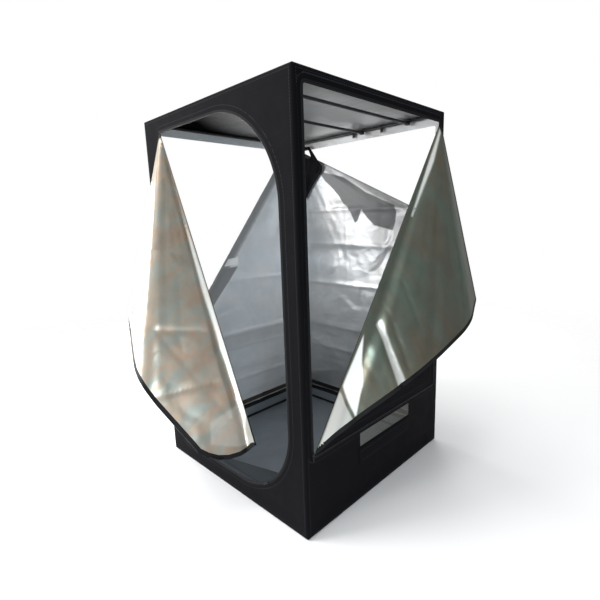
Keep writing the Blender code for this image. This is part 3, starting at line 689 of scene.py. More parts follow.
@dataclass
class Doorway:
    """One wall's door: its opening, its folds, and where the cloth below the fold ends.

    Flat places are in the wall's own frame: across runs right as seen from outside, up is +Z.
    The hinge side is -1 where the sewn edge is on the left as seen from outside, and 1 on the right.
    """

    name: str
    outward: tuple
    hinge_side: int
    low: tuple
    high: tuple
    radii: tuple
    counts: tuple
    zip_end: tuple
    fold_shares: tuple
    fold_angles: tuple
    rounding: tuple
    hem_share: float | None = None

    def __post_init__(self) -> None:
        """Work out the wall's frame and the door's top corner."""
        normal = Vector(self.outward)
        up = Vector((0, 0, 1))
        self.turn = np.array(Matrix((up.cross(normal), up, normal)).transposed(), float)
        self.apex = (self.low[0] if self.hinge_side < 0 else self.high[0], self.high[1])
        start = math.atan2(self.zip_end[1] - self.apex[1], self.zip_end[0] - self.apex[0])
        end = 0.0 if self.hinge_side < 0 else -math.pi
        self.start_angle = start
        self.spread = abs(end - start)
        self.folds = [self.spread * share for share in (0.0, *self.fold_shares)]
        turn = self.turn
        self.facets = []
        for fold, angle in zip(self.folds, self.fold_angles):
            flat = self.start_angle - self.hinge_side * fold
            axis = Vector((math.cos(flat), math.sin(flat), 0))
            turn = turn @ np.array(Matrix.Rotation(-self.hinge_side * math.radians(angle), 3, axis), float)
            self.facets.append(turn)

    def top_corner(self) -> np.ndarray:
        """Return the door's top corner in the tent's frame."""
        return self.turn @ np.array((*self.apex, TENT_HALF))

    def outline(self, grow: float, grow_down: float | None = None) -> list[tuple]:
        """Return the opening's outline, grown by a length or shrunk by a negative one."""
        down = grow if grow_down is None else grow_down
        low = (self.low[0] - grow, self.low[1] - down)
        high = (self.high[0] + grow, self.high[1] + grow)
        radii = tuple(max(radius + grow, 0) if radius > 0 else 0 for radius in self.radii)
        return rounded_outline(low, high, radii, self.counts)

    def fold_direction(self, fold: float) -> tuple:
        """Return the flat direction at an angle from the first fold, towards the loose cloth."""
        angle = self.start_angle - self.hinge_side * fold
        return (math.cos(angle), math.sin(angle))

    def loose_side(self) -> tuple:
        """Return the flat direction square to the first fold that points to the loose cloth."""
        direction = self.fold_direction(0.0)
        return (self.hinge_side * direction[1], -self.hinge_side * direction[0])

    def hem_origin(self) -> tuple:
        """Return where the hem crosses the first fold."""
        down = self.fold_direction(0.0)
        reach = (self.hem_share or 1.0) * math.dist(self.apex, self.zip_end)
        return (self.apex[0] + down[0] * reach, self.apex[1] + down[1] * reach)

    def clip_at_hem(self, points: list[tuple]) -> list[tuple]:
        """Return the part of an outline above the hem."""
        if self.hem_share is None:
            return points
        down = self.fold_direction(0.0)
        return clip_outline(points, self.hem_origin(), (-down[0], -down[1]))

    def clip_at_fold(self, points: list[tuple], height: float, above: bool) -> list[tuple]:
        """Return the part of an outline above or below a line at a height over the first fold."""
        loose = self.loose_side()
        side = 1 if above else -1
        return clip_outline(points, (self.apex[0] + height * loose[0], self.apex[1] + height * loose[1]),
                            (side * loose[0], side * loose[1]))

    def closed_panel(self) -> list[tuple]:
        """Return the outline of the part that stays zipped, below the fold."""
        return self.clip_at_hem(self.clip_at_fold(self.outline(0.0), -FOLD_GAP, False))

    def fold_strip(self, height: float) -> list[tuple]:
        """Return the outline of a strip that the zipped part turns up behind its fold, clear of the doorway's edge."""
        return self.clip_at_fold(self.clip_at_fold(self.outline(-0.008), height, False), -0.002, True)

    def loose_panel(self) -> list[tuple]:
        """Return the outline of the loose cloth, above the fold, from the door's top corner."""
        kept = self.clip_at_fold(self.outline(-DOOR_INSET), 0.0, True)
        return [(x - self.apex[0], y - self.apex[1]) for x, y in self.clip_at_hem(kept)]

    def facet_direction(self, fold: np.ndarray) -> np.ndarray:
        """Return the direction from the top corner of cloth at each flat angle, on its flat facet."""
        index = np.clip(np.searchsorted(np.array(self.folds), fold, side="right") - 1, 0, len(self.facets) - 1)
        angle = self.start_angle - self.hinge_side * fold
        flat = np.stack([np.cos(angle), np.sin(angle), np.zeros_like(angle)], axis=1)
        return np.einsum("nij,nj->ni", np.array(self.facets)[index], flat)

    def direction(self, fold: np.ndarray) -> np.ndarray:
        """Return the direction from the top corner of cloth at each flat angle, with rounded folds."""
        found = self.facet_direction(fold)
        for at, degrees in zip(self.folds[1:], self.rounding):
            reach = math.radians(degrees)
            near = np.abs(fold - at) < reach
            share = ((fold[near] - at + reach) / (2 * reach))[:, None]
            before, here, after = self.facet_direction(np.array([at - reach, at, at + reach]))
            found[near] = unit((1 - share) ** 2 * before + 2 * share * (1 - share) * here + share ** 2 * after)
        return found


@dataclass
class WallSheet:
    """One wall of the cover with the part of its door that stays zipped, cut and hung as one sheet."""

    door: Doorway
    crumple: Crumple
    sag: float
    vent: tuple | None = None
    lean: float = 0.0
    lean_reach: float = 0.08
    # Painted shade and painted highlights on the lining: its patches, and a dark line along the fold.
    patches: tuple[Patch, ...] = ()
    fold_shade: float = 0.0
    strip: float = 0.0
    strip_depth: float = 0.0035

    def build(self, materials: list[bpy.types.Material]) -> bpy.types.Object:
        """Cut the wall, hang it on the frame and let it sag and crease.

        Args:
            materials: What the outside and the lining are made of.
        """
        door = self.door
        low, high = (-TENT_HALF, 0.0), (TENT_HALF, TENT_HEIGHT)
        wall = rectangle(low, high)
        opening = door.outline(0.0)
        closed = door.closed_panel()
        vent = rounded_outline(*self.vent, (0.003,) * 4, (3,) * 4) if self.vent else None
        strip = door.fold_strip(self.strip) if self.strip else None

        def is_cloth(points: np.ndarray) -> np.ndarray:
            """Say which points are on the wall, on the door below its fold or on its strip, and not in the vent."""
            found = inside_outline(points, wall)
            found &= ~inside_outline(points, opening) | inside_outline(points, closed)
            if strip:
                found |= inside_outline(points, strip)
            if vent:
                found &= ~inside_outline(points, vent)
            return found

        outlines = [wall, opening, closed, *(line for line in (vent, strip) if line)]
        lines = [(rectangle(low, high, inset), True) for inset in EDGE_LINES]
        if self.fold_shade:
            ends = np.array([door.apex, door.zip_end]) - 0.011 * np.array(door.loose_side())
            along = spaced(list(map(tuple, ends)), GRID_STEP, False)
            lines.append((along[gap_to_line(along, opening) > GRID_STEP], False))
        pattern = Pattern.cut(outlines, is_cloth, lines=(*lines, *patch_lines(self.patches)))
        flat = pattern.points
        rolled, back, gap = wrap_edges(flat, (0.0, TENT_HEIGHT / 2), (TENT_HALF, TENT_HEIGHT / 2))
        to_opening = gap_to_line(flat, opening)
        calm = smooth_step(gap, 0.030, 0.11) * smooth_step(to_opening, 0.012, 0.07)
        calm *= smooth_step(gap_to_line(flat, closed), 0.0, 0.05)
        if vent:
            calm *= smooth_step(gap_to_line(flat, vent), 0.012, 0.05)
        depth = calm * np.maximum(self.sag + self.crumple.height(flat, door.apex) + self.crumple.shaped(flat), 0.0)
        depth += self.edge_roll(flat)
        if strip:
            above = (flat - np.array(door.apex)) @ np.array(door.loose_side())
            rise = smooth_step(above, -0.03, -0.002) * smooth_step(to_opening, 0.0, 0.008)
            depth += self.strip_depth * rise * inside_outline(flat, opening)
        places = np.column_stack([rolled, TENT_HALF - back - depth]) @ door.turn.T
        seam = np.minimum(gap, np.abs(to_opening - ZIP_WIDTH - ZIP_SETBACK))
        sheet = Cloth(f"{door.name}_wall_cloth", pattern, places, seam, WALL_CLOTH, shade=self.painted_shade(flat),
                      drop=CLOTH / 2)
        return sheet.hang(materials, "cover_cloth", f"{door.name}_wall", f"{door.name}_door_panel",
                          flat=(2 * TENT_HALF, TENT_HEIGHT), held="stretched",
                          rests_on=[f"top_rail_{door.name}", f"bottom_rail_{door.name}"])

    def painted_shade(self, flat: np.ndarray) -> np.ndarray:
        """Return the painted shade on the film: a dark line along the fold, and the patches of painted shade and
        painted highlight.
        """
        off = np.abs((flat - np.array(self.door.apex)) @ np.array(self.door.loose_side()))
        found = self.fold_shade * (1 - smooth_step(off, 0.009, 0.015)) * inside_outline(flat, self.door.outline(0.0))
        painted = patch_shade(flat, self.patches)
        return np.where(np.abs(painted) > found, painted, found)

    def edge_roll(self, flat: np.ndarray) -> np.ndarray:
        """Return how far the zipped part leans in below its fold, down to the ragged crease where it turns back."""
        if self.lean <= 0:
            return np.zeros(len(flat))
        door = self.door
        off = flat - np.array(door.apex)
        below = -(off @ np.array(door.loose_side()))
        share = off @ np.array(door.fold_direction(0.0)) / math.dist(door.apex, door.zip_end)
        held = smooth_step(share, 0.03, 0.16) * smooth_step(1 - share, 0.03, 0.16)
        reach = self.lean_reach
        depth = self.lean * np.clip(below, 0, reach) * (1 - smooth_step(below, reach, reach + 0.5))
        inside = inside_outline(flat, door.closed_panel())
        return np.where(inside, depth * held * smooth_step(gap_to_line(flat, door.outline(0.0)), 0.0, 0.08), 0.0)


@dataclass
class LooseDoor:
    """The loose cloth of one door, folded out of its doorway and hanging from the top corner.

    The cloth is cut as one piece and split through the middle of each inner facet; each part hides the imported flaps
    that it stands for.
    """

    door: Doorway
    crumple: Crumple
    blend_reach: float = 0.05
    hem_points: tuple = ()
    roll: float = 0.007
    roll_width: float = 0.036
    # Painted shade and painted highlights on the lining.
    patches: tuple[Patch, ...] = ()
    fold_band: float = 0.004
    fold_line: float = 0.005
    tip_cut: float = 0.010

    def cut_outline(self) -> list[tuple]:
        """Return the loose cloth's outline with its hem corner rounded."""
        outline = self.door.loose_panel()
        if not self.hem_points:
            return outline
        apex = self.door.apex
        hem = [(x - apex[0], y - apex[1]) for x, y in self.hem_points]
        top = max(hem, key=lambda point: point[1])[1]
        kept: list[tuple] = []
        for point in outline:
            if point[1] > top or point[0] < hem[0][0] - 0.02:
                kept.append(point)
            elif hem[0] not in kept:
                kept.extend(hem)
        return kept

    def build(self, materials: list[bpy.types.Material]) -> list[bpy.types.Object]:
        """Cut the cloth, fold it round the top corner and split it through the middle of each inner facet.

        Args:
            materials: What the outside, the lining and the zip tape are made of.
        """
        door = self.door
        outline = anticlockwise(spaced(self.cut_outline(), GRID_STEP))
        reach = float(np.linalg.norm(outline, axis=1).max()) + 0.1
        loose = np.array(door.loose_side())
        down = np.array(door.fold_direction(0.0))
        free = outline @ loose > self.fold_band
        first = int(np.flatnonzero(free & ~np.roll(free, 1))[0])
        outline = np.roll(outline, -first, axis=0)
        free_edge = outline[outline @ loose > self.fold_band]
        middles = [(a + b) / 2 for a, b in zip(door.folds[1:], door.folds[2:])]
        ends = [((0.0, 0.0), reach * np.array(door.fold_direction(middle))) for middle in middles]
        ends.append((down * 0.06 + loose * self.fold_line, down * reach + loose * self.fold_line))
        lines = [spaced([tuple(start), tuple(end)], GRID_STEP, False) for start, end in ends]
        band, ridge = inset_line(outline, EDGE_BAND), inset_line(outline, PIPING - 0.0001)
        lines = [band[band @ loose > EDGE_BAND], ridge[ridge @ loose > 2 * self.fold_band],
                 *(line[inside_outline(line, outline)] for line in lines)]

        def is_cloth(points: np.ndarray) -> np.ndarray:
            """Say which points are on the loose cloth."""
            return inside_outline(points, outline) & (np.linalg.norm(points, axis=1) > self.tip_cut)

        pattern = Pattern.cut([outline], is_cloth, lines=(
            *((line, False) for line in lines), *patch_lines(self.patches)))
        flat = pattern.points
        distance = np.linalg.norm(flat, axis=1)
        angle = np.arctan2(flat[:, 1], flat[:, 0])
        fold = np.clip((angle - door.start_angle) * -door.hinge_side, 0, door.spread)
        fold = np.where(distance < 1e-9, 0.0, fold)
        to_edge = gap_to_line(flat, free_edge, False)
        places = door.top_corner() + door.direction(fold) * distance[:, None]
        places += point_normals(places, pattern.triangles) * self.lift(flat, distance, to_edge)[:, None]
        normals = point_normals(places, pattern.triangles)
        taped = gap_to_line(pattern.middles(), free_edge, False) < EDGE_BAND * 0.98
        thickness = np.where(to_edge < PIPING, PIPING, WALL_CLOTH)
        shade = patch_shade(flat, self.patches)
        parts = []
        centre_fold = fold[pattern.triangles].mean(axis=1)
        limits = [-1.0, *middles, 9.0]
        for index, (low, high) in enumerate(zip(limits, limits[1:]), start=1):
            chosen = (centre_fold > low) & (centre_fold <= high)
            piece, used = pattern.part(chosen)
            cloth = Cloth(f"{door.name}_door_cloth_{index}", piece, places[used], to_edge[used], thickness[used],
                          taped[chosen], shade[used], normals[used], CLOTH / 2)
            parts.append(self.join(cloth.build(materials), index, piece, len(limits) - 1))
        return parts

    def lift(self, flat: np.ndarray, distance: np.ndarray, to_edge: np.ndarray) -> np.ndarray:
        """Return how far the cloth stands off its flat facets: its crumple, and the soft roll along the first fold.

        Args:
            flat: The flat points.
            distance: Each point's distance from the top corner.
            to_edge: Each point's distance from the free edge.
        """
        off_fold = flat @ np.array(self.door.loose_side())
        calm = smooth_step(off_fold, 0.0, 0.07) * smooth_step(distance, 0.05, 0.35)
        calm *= 0.35 + 0.65 * smooth_step(to_edge, 0.0, 0.05)
        width = self.roll_width * (0.15 + 0.85 * np.clip(distance / 1.2, 0, 1))
        roll = np.sin(math.pi * np.clip(off_fold / width, 0, 1)) ** 2 * smooth_step(distance, 0.03, 0.3)
        return calm * self.crumple.height(flat) + self.roll / self.roll_width * width * roll + self.crumple.shaped(flat)

    def join(self, item: bpy.types.Object, index: int, pattern: Pattern, count: int) -> bpy.types.Object:
        """Args:
            item: The part of the cloth.
            index: Its number, from the fold outwards.
            pattern: Its flat cut.
            count: How many parts the cloth has.
        """
        door = self.door
        name = door.name
        at = door.folds[index]
        step = math.radians(2.0)
        before, here, after = door.facet_direction(np.array([at - step, at, at + step]))
        across = after - before
        across = unit(across - here * (across @ here))
        apex = door.top_corner()
        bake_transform(item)
        numbers = [index] if index < count else [index, index + 1]
        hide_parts(*(f"{name}_door_flap_{number}" for number in numbers))
        turned = self.along_fold(pattern, (door.folds[index - 1] + at) / 2)
        turned.size()
        LOG.info("%s: %.2f square metres of cloth", item.name, pattern.area())
        return item

    def along_fold(self, pattern: Pattern, fold: float) -> Pattern:
        """Return a flat cut turned so that its length runs along one flat direction."""
        along = np.array(self.door.fold_direction(fold))
        across = np.array((-along[1], along[0]))
        return Pattern(pattern.points @ np.column_stack([across, along]), pattern.triangles)


# Zips, vent and tray


@dataclass
class ZipTape:
    """The half of a zip that is sewn round a doorway: a woven tape with a coil along its inner edge."""

    door: Doorway
    width: float = ZIP_WIDTH
    tape_height: float = 0.0009
    coil_height: float = 0.0017
    coil_width: float = 0.0042

    def profile(self) -> np.ndarray:
        """Return the section, from the doorway outwards: distance from its edge, and height off the wall."""
        coil = [(0.0, 0.0), (0.0, 0.0008), (0.0006, 0.0014), (0.0014, self.coil_height),
                (self.coil_width - 0.0014, self.coil_height), (self.coil_width - 0.0005, 0.0013),
                (self.coil_width, self.tape_height)]
        groove = [(self.coil_width + 0.0012, self.tape_height * 0.75), (self.coil_width + 0.0022, self.tape_height)]
        edge = [(self.width - 0.0008, self.tape_height), (self.width, self.tape_height * 0.5), (self.width, 0.0)]
        return np.array(coil + groove + edge)

    def build(self, material: bpy.types.Material) -> bpy.types.Object:
        """Sweep the section round the doorway.

        Args:
            material: What the tape is made of.
        """
        door = self.door
        profile = self.profile()
        base = spaced(door.outline(ZIP_SETBACK), 0.03)
        lengths = np.linalg.norm(np.diff(np.vstack([base, base[:1]]), axis=0), axis=1)
        run = np.concatenate([[0.0], np.cumsum(lengths)])
        across = np.concatenate([[0.0], np.cumsum(np.linalg.norm(np.diff(profile, axis=0), axis=1))])
        places = [np.column_stack([self.grown(base, reach), np.full(len(base), TENT_HALF + TOUCH / 2 + height)])
                  for reach, height in profile]
        count, rows = len(base), len(profile)
        faces, corners = [], []
        for row in range(rows):
            below = (row + 1) % rows
            top = across[min(row + 1, rows - 1)]
            for column in range(count):
                after = (column + 1) % count
                faces.append((row * count + column, row * count + after, below * count + after,
                              below * count + column))
                corners.extend([(run[column], across[row]), (run[column + 1], across[row]),
                                (run[column + 1], top), (run[column], top)])
        mesh = bpy.data.meshes.new(f"{door.name}_zip")
        mesh.from_pydata((np.vstack(places) @ door.turn.T).tolist(), [], faces)
        mesh.uv_layers.new(name="cloth").data.foreach_set("uv", np.array(corners, np.float32).ravel())
        mesh.polygons.foreach_set("use_smooth", np.ones(len(faces), bool))
        item = add_object(f"{door.name}_zip", mesh)
        face_outwards(item)
        bpy.ops.object.shade_smooth_by_angle(angle=math.radians(50))
        settle(item, material, "zip_tape", f"{door.name}_zip_tape")
        LOG.info("%s: %.2f metres of zip", item.name, run[-1])
        return item

    def grown(self, base: np.ndarray, reach: float) -> np.ndarray:
        """Return the doorway's line moved outwards by a distance, square to itself and mitred at sharp corners."""
        before = unit(base - np.roll(base, 1, axis=0))
        after = unit(np.roll(base, -1, axis=0) - base)
        side = np.stack([before[:, 1] + after[:, 1], -before[:, 0] - after[:, 0]], axis=1) / 2
        return base + reach * side / np.maximum(np.sum(side * side, axis=1, keepdims=True), 0.3)


@dataclass
class Vent:
    """The vent in the right wall: a woven net with a sewn border, and a cover that hangs open below it."""

    door: Doorway
    middle: float = 0.025
    width: float = 0.465
    bottom: float = 0.300
    height: float = 0.072
    thread: float = 0.0015
    cell: float = 0.0035
    margin: float = 0.010
    recess: float = 0.0035
    slack: float = 0.0016

    def box(self) -> tuple:
        """Return the opening's lower left and upper right corners on the wall."""
        return ((self.middle - self.width / 2, self.bottom),
                (self.middle + self.width / 2, self.bottom + self.height))

    def build_net(self, material: bpy.types.Material) -> bpy.types.Object:
        """Weave the net from one grid of threads.

        Args:
            material: What the threads are made of.
        """
        deselect_all()
        columns, rows = round(self.width / self.cell), round(self.height / self.cell)
        bpy.ops.mesh.primitive_grid_add(x_subdivisions=columns, y_subdivisions=rows, size=1)
        net = bpy.context.active_object
        net.name = net.data.name = "vent_net"
        flat = points_of(net)
        step = np.round((flat[:, 0] + 0.5) * columns) + np.round((flat[:, 1] + 0.5) * rows)
        over = np.where(step % 2 == 0, 0.4, -0.4) * self.thread
        across = self.middle + flat[:, 0] * (self.width + 0.004)
        up = self.bottom + self.height / 2 + flat[:, 1] * (self.height + 0.004)
        places = np.column_stack([across, up, TENT_HALF - self.recess + over]) @ self.door.turn.T
        net.data.vertices.foreach_set("co", places.ravel())
        wire = net.modifiers.new("threads", "WIREFRAME")
        wire.thickness = self.thread
        wire.use_even_offset = False
        apply_all(net)
        settle(net, material, "vent_net", "right_vent_net")
        LOG.info("vent_net: %d by %d cells", columns, rows)
        return net

    def build_cover(self, materials: list[bpy.types.Material]) -> bpy.types.Object:
        """Cut the cover and let it hang below the vent, slack in its middle so that it also lies flat when closed.

        Args:
            materials: What it is made of.
        """
        half = self.width / 2 + self.margin
        drop = self.height + 2 * self.margin
        outline = spaced(rounded_outline((-half, -drop), (half, 0.0), (0.010,) * 4, (4,) * 4), 0.006)
        pattern = Pattern.cut([outline], step=0.006, lines=((inset_line(outline, 0.011), True),))
        flat = pattern.points
        edge = gap_to_line(flat, outline)
        out = self.slack * smooth_step(edge, 0.014, 0.036) * (0.7 + 0.5 * noise_field(flat, 9.0, 5.0, 3.3))
        places = np.column_stack([self.middle + flat[:, 0], self.bottom - self.margin + flat[:, 1],
                                  TENT_HALF + TOUCH + CLOTH / 2 + np.maximum(out, 0)]) @ self.door.turn.T
        cover = Cloth("vent_cover_cloth", pattern, places, edge, np.where(edge < 0.0105, 0.0019, 0.0014))
        return cover.hang(materials, "cover_cloth", "right_vent_cover", body="vent_cover",
                          rests_on=["right_wall_cloth"])


@dataclass
class FloorTray:
    """The removable waterproof tray: one sheet folded up at its sides, with soft corners and a wavy rim."""

    half: float = 0.5718
    height: float = 0.112
    base: float = 0.0023
    corner: float = 0.030
    wall: float = 0.0015
    cells: int = 64
    rings: int = 8

    def build(self, material: bpy.types.Material) -> bpy.types.Object:
        """Model the tray from a grid whose rim is drawn up.

        Args:
            material: What the tray is made of.
        """
        deselect_all()
        inner = self.half - self.wall / 2
        bpy.ops.mesh.primitive_grid_add(x_subdivisions=self.cells, y_subdivisions=self.cells, size=2 * inner,
                                        location=(0, 0, self.base + self.wall / 2))
        tray = bpy.context.active_object
        tray.name = tray.data.name = "floor_tray_cloth"
        bpy.ops.object.transform_apply(location=True, rotation=True, scale=True)
        bpy.ops.object.mode_set(mode="EDIT")
        bpy.ops.mesh.select_mode(type="EDGE")
        bpy.ops.mesh.select_all(action="DESELECT")
        bpy.ops.mesh.select_non_manifold()
        rise = (self.height - self.wall) / self.rings
        for _ in range(self.rings):
            bpy.ops.mesh.extrude_region_move(TRANSFORM_OT_translate={"value": (0, 0, rise)})
        bpy.ops.object.mode_set(mode="OBJECT")
        face_outwards(tray)
        places = points_of(tray)
        self.soften(places, inner)
        tray.data.vertices.foreach_set("co", places.ravel())
        thicken(tray, self.wall)
        settle(tray, material, "tray_cloth", "floor_tray")
        LOG.info("floor_tray_cloth: %.2f metres square", 2 * self.half)
        return tray

    def soften(self, places: np.ndarray, inner: float) -> None:
        """Round the tray's corners, crease its floor and make its rim uneven, in place.

        Args:
            places: The tray's points.
            inner: Half its width.
        """
        level = np.clip((places[:, 2] - self.base) / self.height, 0, 1)
        for index, point in enumerate(places):
            centre = [math.copysign(inner - self.corner, value) for value in point[:2]]
            past = [point[axis] - centre[axis] for axis in (0, 1)]
            if all(abs(point[axis]) > inner - self.corner for axis in (0, 1)):
                widest = max(abs(past[0]), abs(past[1]))
                length = math.hypot(*past)
                if length > 1e-9:
                    for axis in (0, 1):
                        point[axis] = centre[axis] + past[axis] / length * widest
            ripple = noise.noise(Vector((point[0] * 6.5, point[1] * 6.5, 1.7)))
            fine = noise.noise(Vector((point[0] * 21.0, point[1] * 21.0, 8.2)))
            if level[index] > 0.02:
                drop = level[index] ** 1.5
                lean = drop * (0.006 + 0.006 * ripple + 0.002 * fine)
                for axis in (0, 1):
                    if abs(point[axis]) > inner - self.corner:
                        point[axis] -= math.copysign(lean, point[axis])
                point[2] -= drop * (0.004 + 0.004 * ripple)
            else:
                calm = 1 - max(abs(point[0]), abs(point[1])) / inner
                point[2] += min(max(calm * 6, 0), 1) * (0.0028 + 0.0028 * ripple + 0.0010 * fine)


@dataclass
class FlatSheet:
    """The roof or the base of the cover, wrapped over the frame's edges and sagging between them."""

    name: str
    node: str
    top: bool
    crumple: Crumple
    sag: float
    # Painted shade on the lining: over the whole sheet, and more towards the front left corner.
    shade: float = 0.0
    corner_shade: float = 0.0
    margin: float = 0.03

    def build(self, materials: list[bpy.types.Material]) -> bpy.types.Object:
        """Cut the sheet, lay it over the frame and let it sag.

        Args:
            materials: What the outside and the lining are made of.
        """
        low, high = (-TENT_HALF, -TENT_HALF), (TENT_HALF, TENT_HALF)
        pattern = Pattern.cut([rectangle(low, high)],
                              lines=tuple((rectangle(low, high, inset), True) for inset in EDGE_LINES))
        rolled, back, gap = wrap_edges(pattern.points, (0.0, 0.0), high)
        sag = self.sag * smooth_step(gap, 0.0, 0.45) + self.crumple.height(pattern.points)
        back += smooth_step(gap, self.margin, 0.16) * np.maximum(sag, 0.0)
        places = np.column_stack([rolled, TENT_HEIGHT - back] if self.top else [rolled[:, 0], -rolled[:, 1], back])
        # The painted shade grows towards the front left corner.
        away = -(places[:, 0] + places[:, 1])
        sheet = Cloth(self.name, pattern, places, gap, WALL_CLOTH, drop=CLOTH / 2,
                      shade=self.shade + self.corner_shade * smooth_step(away, -0.2, 0.8))
        rails = "top" if self.top else "bottom"
        return sheet.hang(materials, "cover_cloth", self.node, flat=(2 * TENT_HALF, 2 * TENT_HALF),
                          held="stretched" if self.top else "laid",
                          rests_on=[f"{rails}_rail_{side}" for side in ("front", "back", "left", "right")])


@dataclass
class SillFlap:
    """The front door's lower part below its hem, turned down inside over the tray's rim."""

    door: Doorway
    angle: float = math.radians(104)
    lift: float = 0.00015
    tip_cut: float = 0.018
    zip_from: float = 0.24

    def build(self, materials: list[bpy.types.Material]) -> bpy.types.Object:
        """Cut the flap and hang it from the bottom of the doorway.

        Args:
            materials: What its outside, lining and zip tape are made of.
        """
        door = self.door
        down = door.fold_direction(0.0)
        hem = [place + HEM_GAP * step for place, step in zip(door.hem_origin(), down)]
        points = clip_outline(door.outline(-DOOR_INSET, -TOUCH), hem, down)
        tip = min(points)[0] + self.tip_cut
        kept = [(x, y - door.low[1]) for x, y in clip_outline(points, (tip, 0), (1, 0))]
        outline = spaced(kept, GRID_STEP * 0.7)
        band = inset_line(outline, ZIP_WIDTH)
        band = band[(band[:, 1] > ZIP_WIDTH) & (band[:, 0] > self.zip_from)]
        pattern = Pattern.cut([outline], step=GRID_STEP * 0.7, lines=((band, False),))
        flat = pattern.points
        wave = noise_field(flat, 8.0, 8.0, 6.1)
        far = np.clip(flat[:, 1] / 0.25, 0, 1)
        bow = far ** 2 * 0.006 * wave + 0.004 * far * np.maximum(wave, 0)
        local = np.column_stack([flat, CLOTH / 2 + self.lift + bow])
        hinge = Matrix.Rotation(-self.angle, 3, "X")
        turned = local @ np.array(hinge, float).T + np.array((0, door.low[1], -CLOTH - self.lift + TENT_HALF))
        middle = pattern.middles()
        taped = (gap_to_line(middle, outline) < ZIP_WIDTH * 0.98) & (middle[:, 1] > 0.012) & (
            middle[:, 0] > self.zip_from)
        sheet = Cloth("front_door_sill_cloth", pattern, turned @ door.turn.T, gap_to_line(flat, outline), tape=taped)
        return sheet.hang(materials, "door_cloth", "front_door_sill", body="front_sill", rests_on=["front_wall_cloth"])


@dataclass
class RailTie:
    """A webbing tie looped round the back rail, with its sewn tail hanging."""

    name: str
    place: float
    rail: float = 0.5849
    rail_height: float = 1.9849
    inner: float = 0.0098
    thickness: float = 0.0014
    width: float = 0.020
    tail: float = 0.022

    def build(self, material: bpy.types.Material) -> bpy.types.Object:
        """Model the tie from a ring of faces whose lowest edge is drawn down as the tail.

        Args:
            material: What the webbing is made of.
        """
        deselect_all()
        middle = self.inner + self.thickness / 2
        bpy.ops.mesh.primitive_cylinder_add(vertices=28, radius=middle, depth=self.width, end_fill_type="NOTHING",
                                            location=(self.place, self.rail, self.rail_height),
                                            rotation=(0, math.pi / 2, 0))
        tie = bpy.context.active_object
        tie.name = tie.data.name = f"{self.name}_webbing"
        bpy.ops.object.transform_apply(location=True, rotation=True, scale=True)
        lowest = min(vertex.co.z for vertex in tie.data.vertices)
        bpy.ops.object.mode_set(mode="EDIT")
        bpy.ops.mesh.select_mode(type="EDGE")
        bpy.ops.mesh.select_all(action="DESELECT")
        bpy.ops.object.mode_set(mode="OBJECT")
        for edge in tie.data.edges:
            ends = [tie.data.vertices[index].co for index in edge.vertices]
            edge.select = all(abs(end.z - lowest) < 1e-5 for end in ends)
        bpy.ops.object.mode_set(mode="EDIT")
        for length, sway in ((0.4, 0.0004), (0.35, 0.0010), (0.25, 0.0016)):
            bpy.ops.mesh.extrude_region_move(
                TRANSFORM_OT_translate={"value": (0, -sway, -self.tail * length)})
        bpy.ops.object.mode_set(mode="OBJECT")
        thicken(tie, self.thickness)
        settle(tie, material, "strap_web", self.name)
        LOG.info("%s: webbing tie", tie.name)
        return tie


@dataclass
class CornerGather:
    """Door cloth bunched inside the tent, at the top corner that the back door's folds run out from."""

    door: Doorway
    inset: float = 0.026
    outline: tuple = ((0.535, 1.955), (0.430, 1.955), (0.395, 1.910), (0.345, 1.843), (0.305, 1.800), (0.312, 1.769),
                      (0.357, 1.726), (0.420, 1.660), (0.464, 1.598), (0.500, 1.575), (0.535, 1.600))
    gap: tuple = ((0.475, 1.935), (0.440, 1.938), (0.405, 1.878), (0.422, 1.862), (0.462, 1.884))

    def build(self, materials: list[bpy.types.Material]) -> bpy.types.Object:
        """Cut the cloth and bunch it against the corner.

        Args:
            materials: What its two sides are made of.
        """
        def is_cloth(points: np.ndarray) -> np.ndarray:
            """Say which points are on the gather, outside the gap that it leaves."""
            return inside_outline(points, self.outline) & ~inside_outline(points, self.gap)

        pattern = Pattern.cut([self.outline, self.gap], is_cloth, step=0.009)
        flat = pattern.points
        folds = noise_field(flat, 26.0, 5.0, 2.2, slant=9.0)
        edge = gap_to_line(flat, self.outline)
        depth = self.inset + 0.016 * folds * smooth_step(edge, 0.0, 0.03) + 0.010 * smooth_step(edge, 0.0, 0.06)
        places = np.column_stack([flat, TENT_HALF - depth]) @ self.door.turn.T
        return Cloth("back_door_gather_cloth", pattern, places, edge).hang(
            materials, "door_cloth", held="gathered", rests_on=["back_wall_cloth"])


# Finishes


@dataclass(frozen=True)
class Finish:
    """What every finish shares: its name and the start of its material."""

    name: str

    def begin(self) -> tuple[bpy.types.Material, bpy.types.NodeTree, bpy.types.Node]:
        """Make an empty material.

        Returns:
            The material, its node tree and its shader.
        """
        material = bpy.data.materials.new(self.name)
        material.use_nodes = True
        tree = material.node_tree
        return material, tree, tree.nodes["Principled BSDF"]

    def weave(self, tree: bpy.types.NodeTree, place: bpy.types.NodeSocket, spacing_mm: float) -> bpy.types.NodeSocket:
        """Cross two sets of threads, and return how high each place on the weave is."""
        bands = [add_node(tree, "TexWave", {"Vector": place, "Scale": band_scale(spacing_mm)},
                          bands_direction=way).outputs["Fac"] for way in ("X", "Y")]
        return add_node(tree, "Math", {0: bands[0], 1: bands[1]}, operation="MULTIPLY").outputs[0]


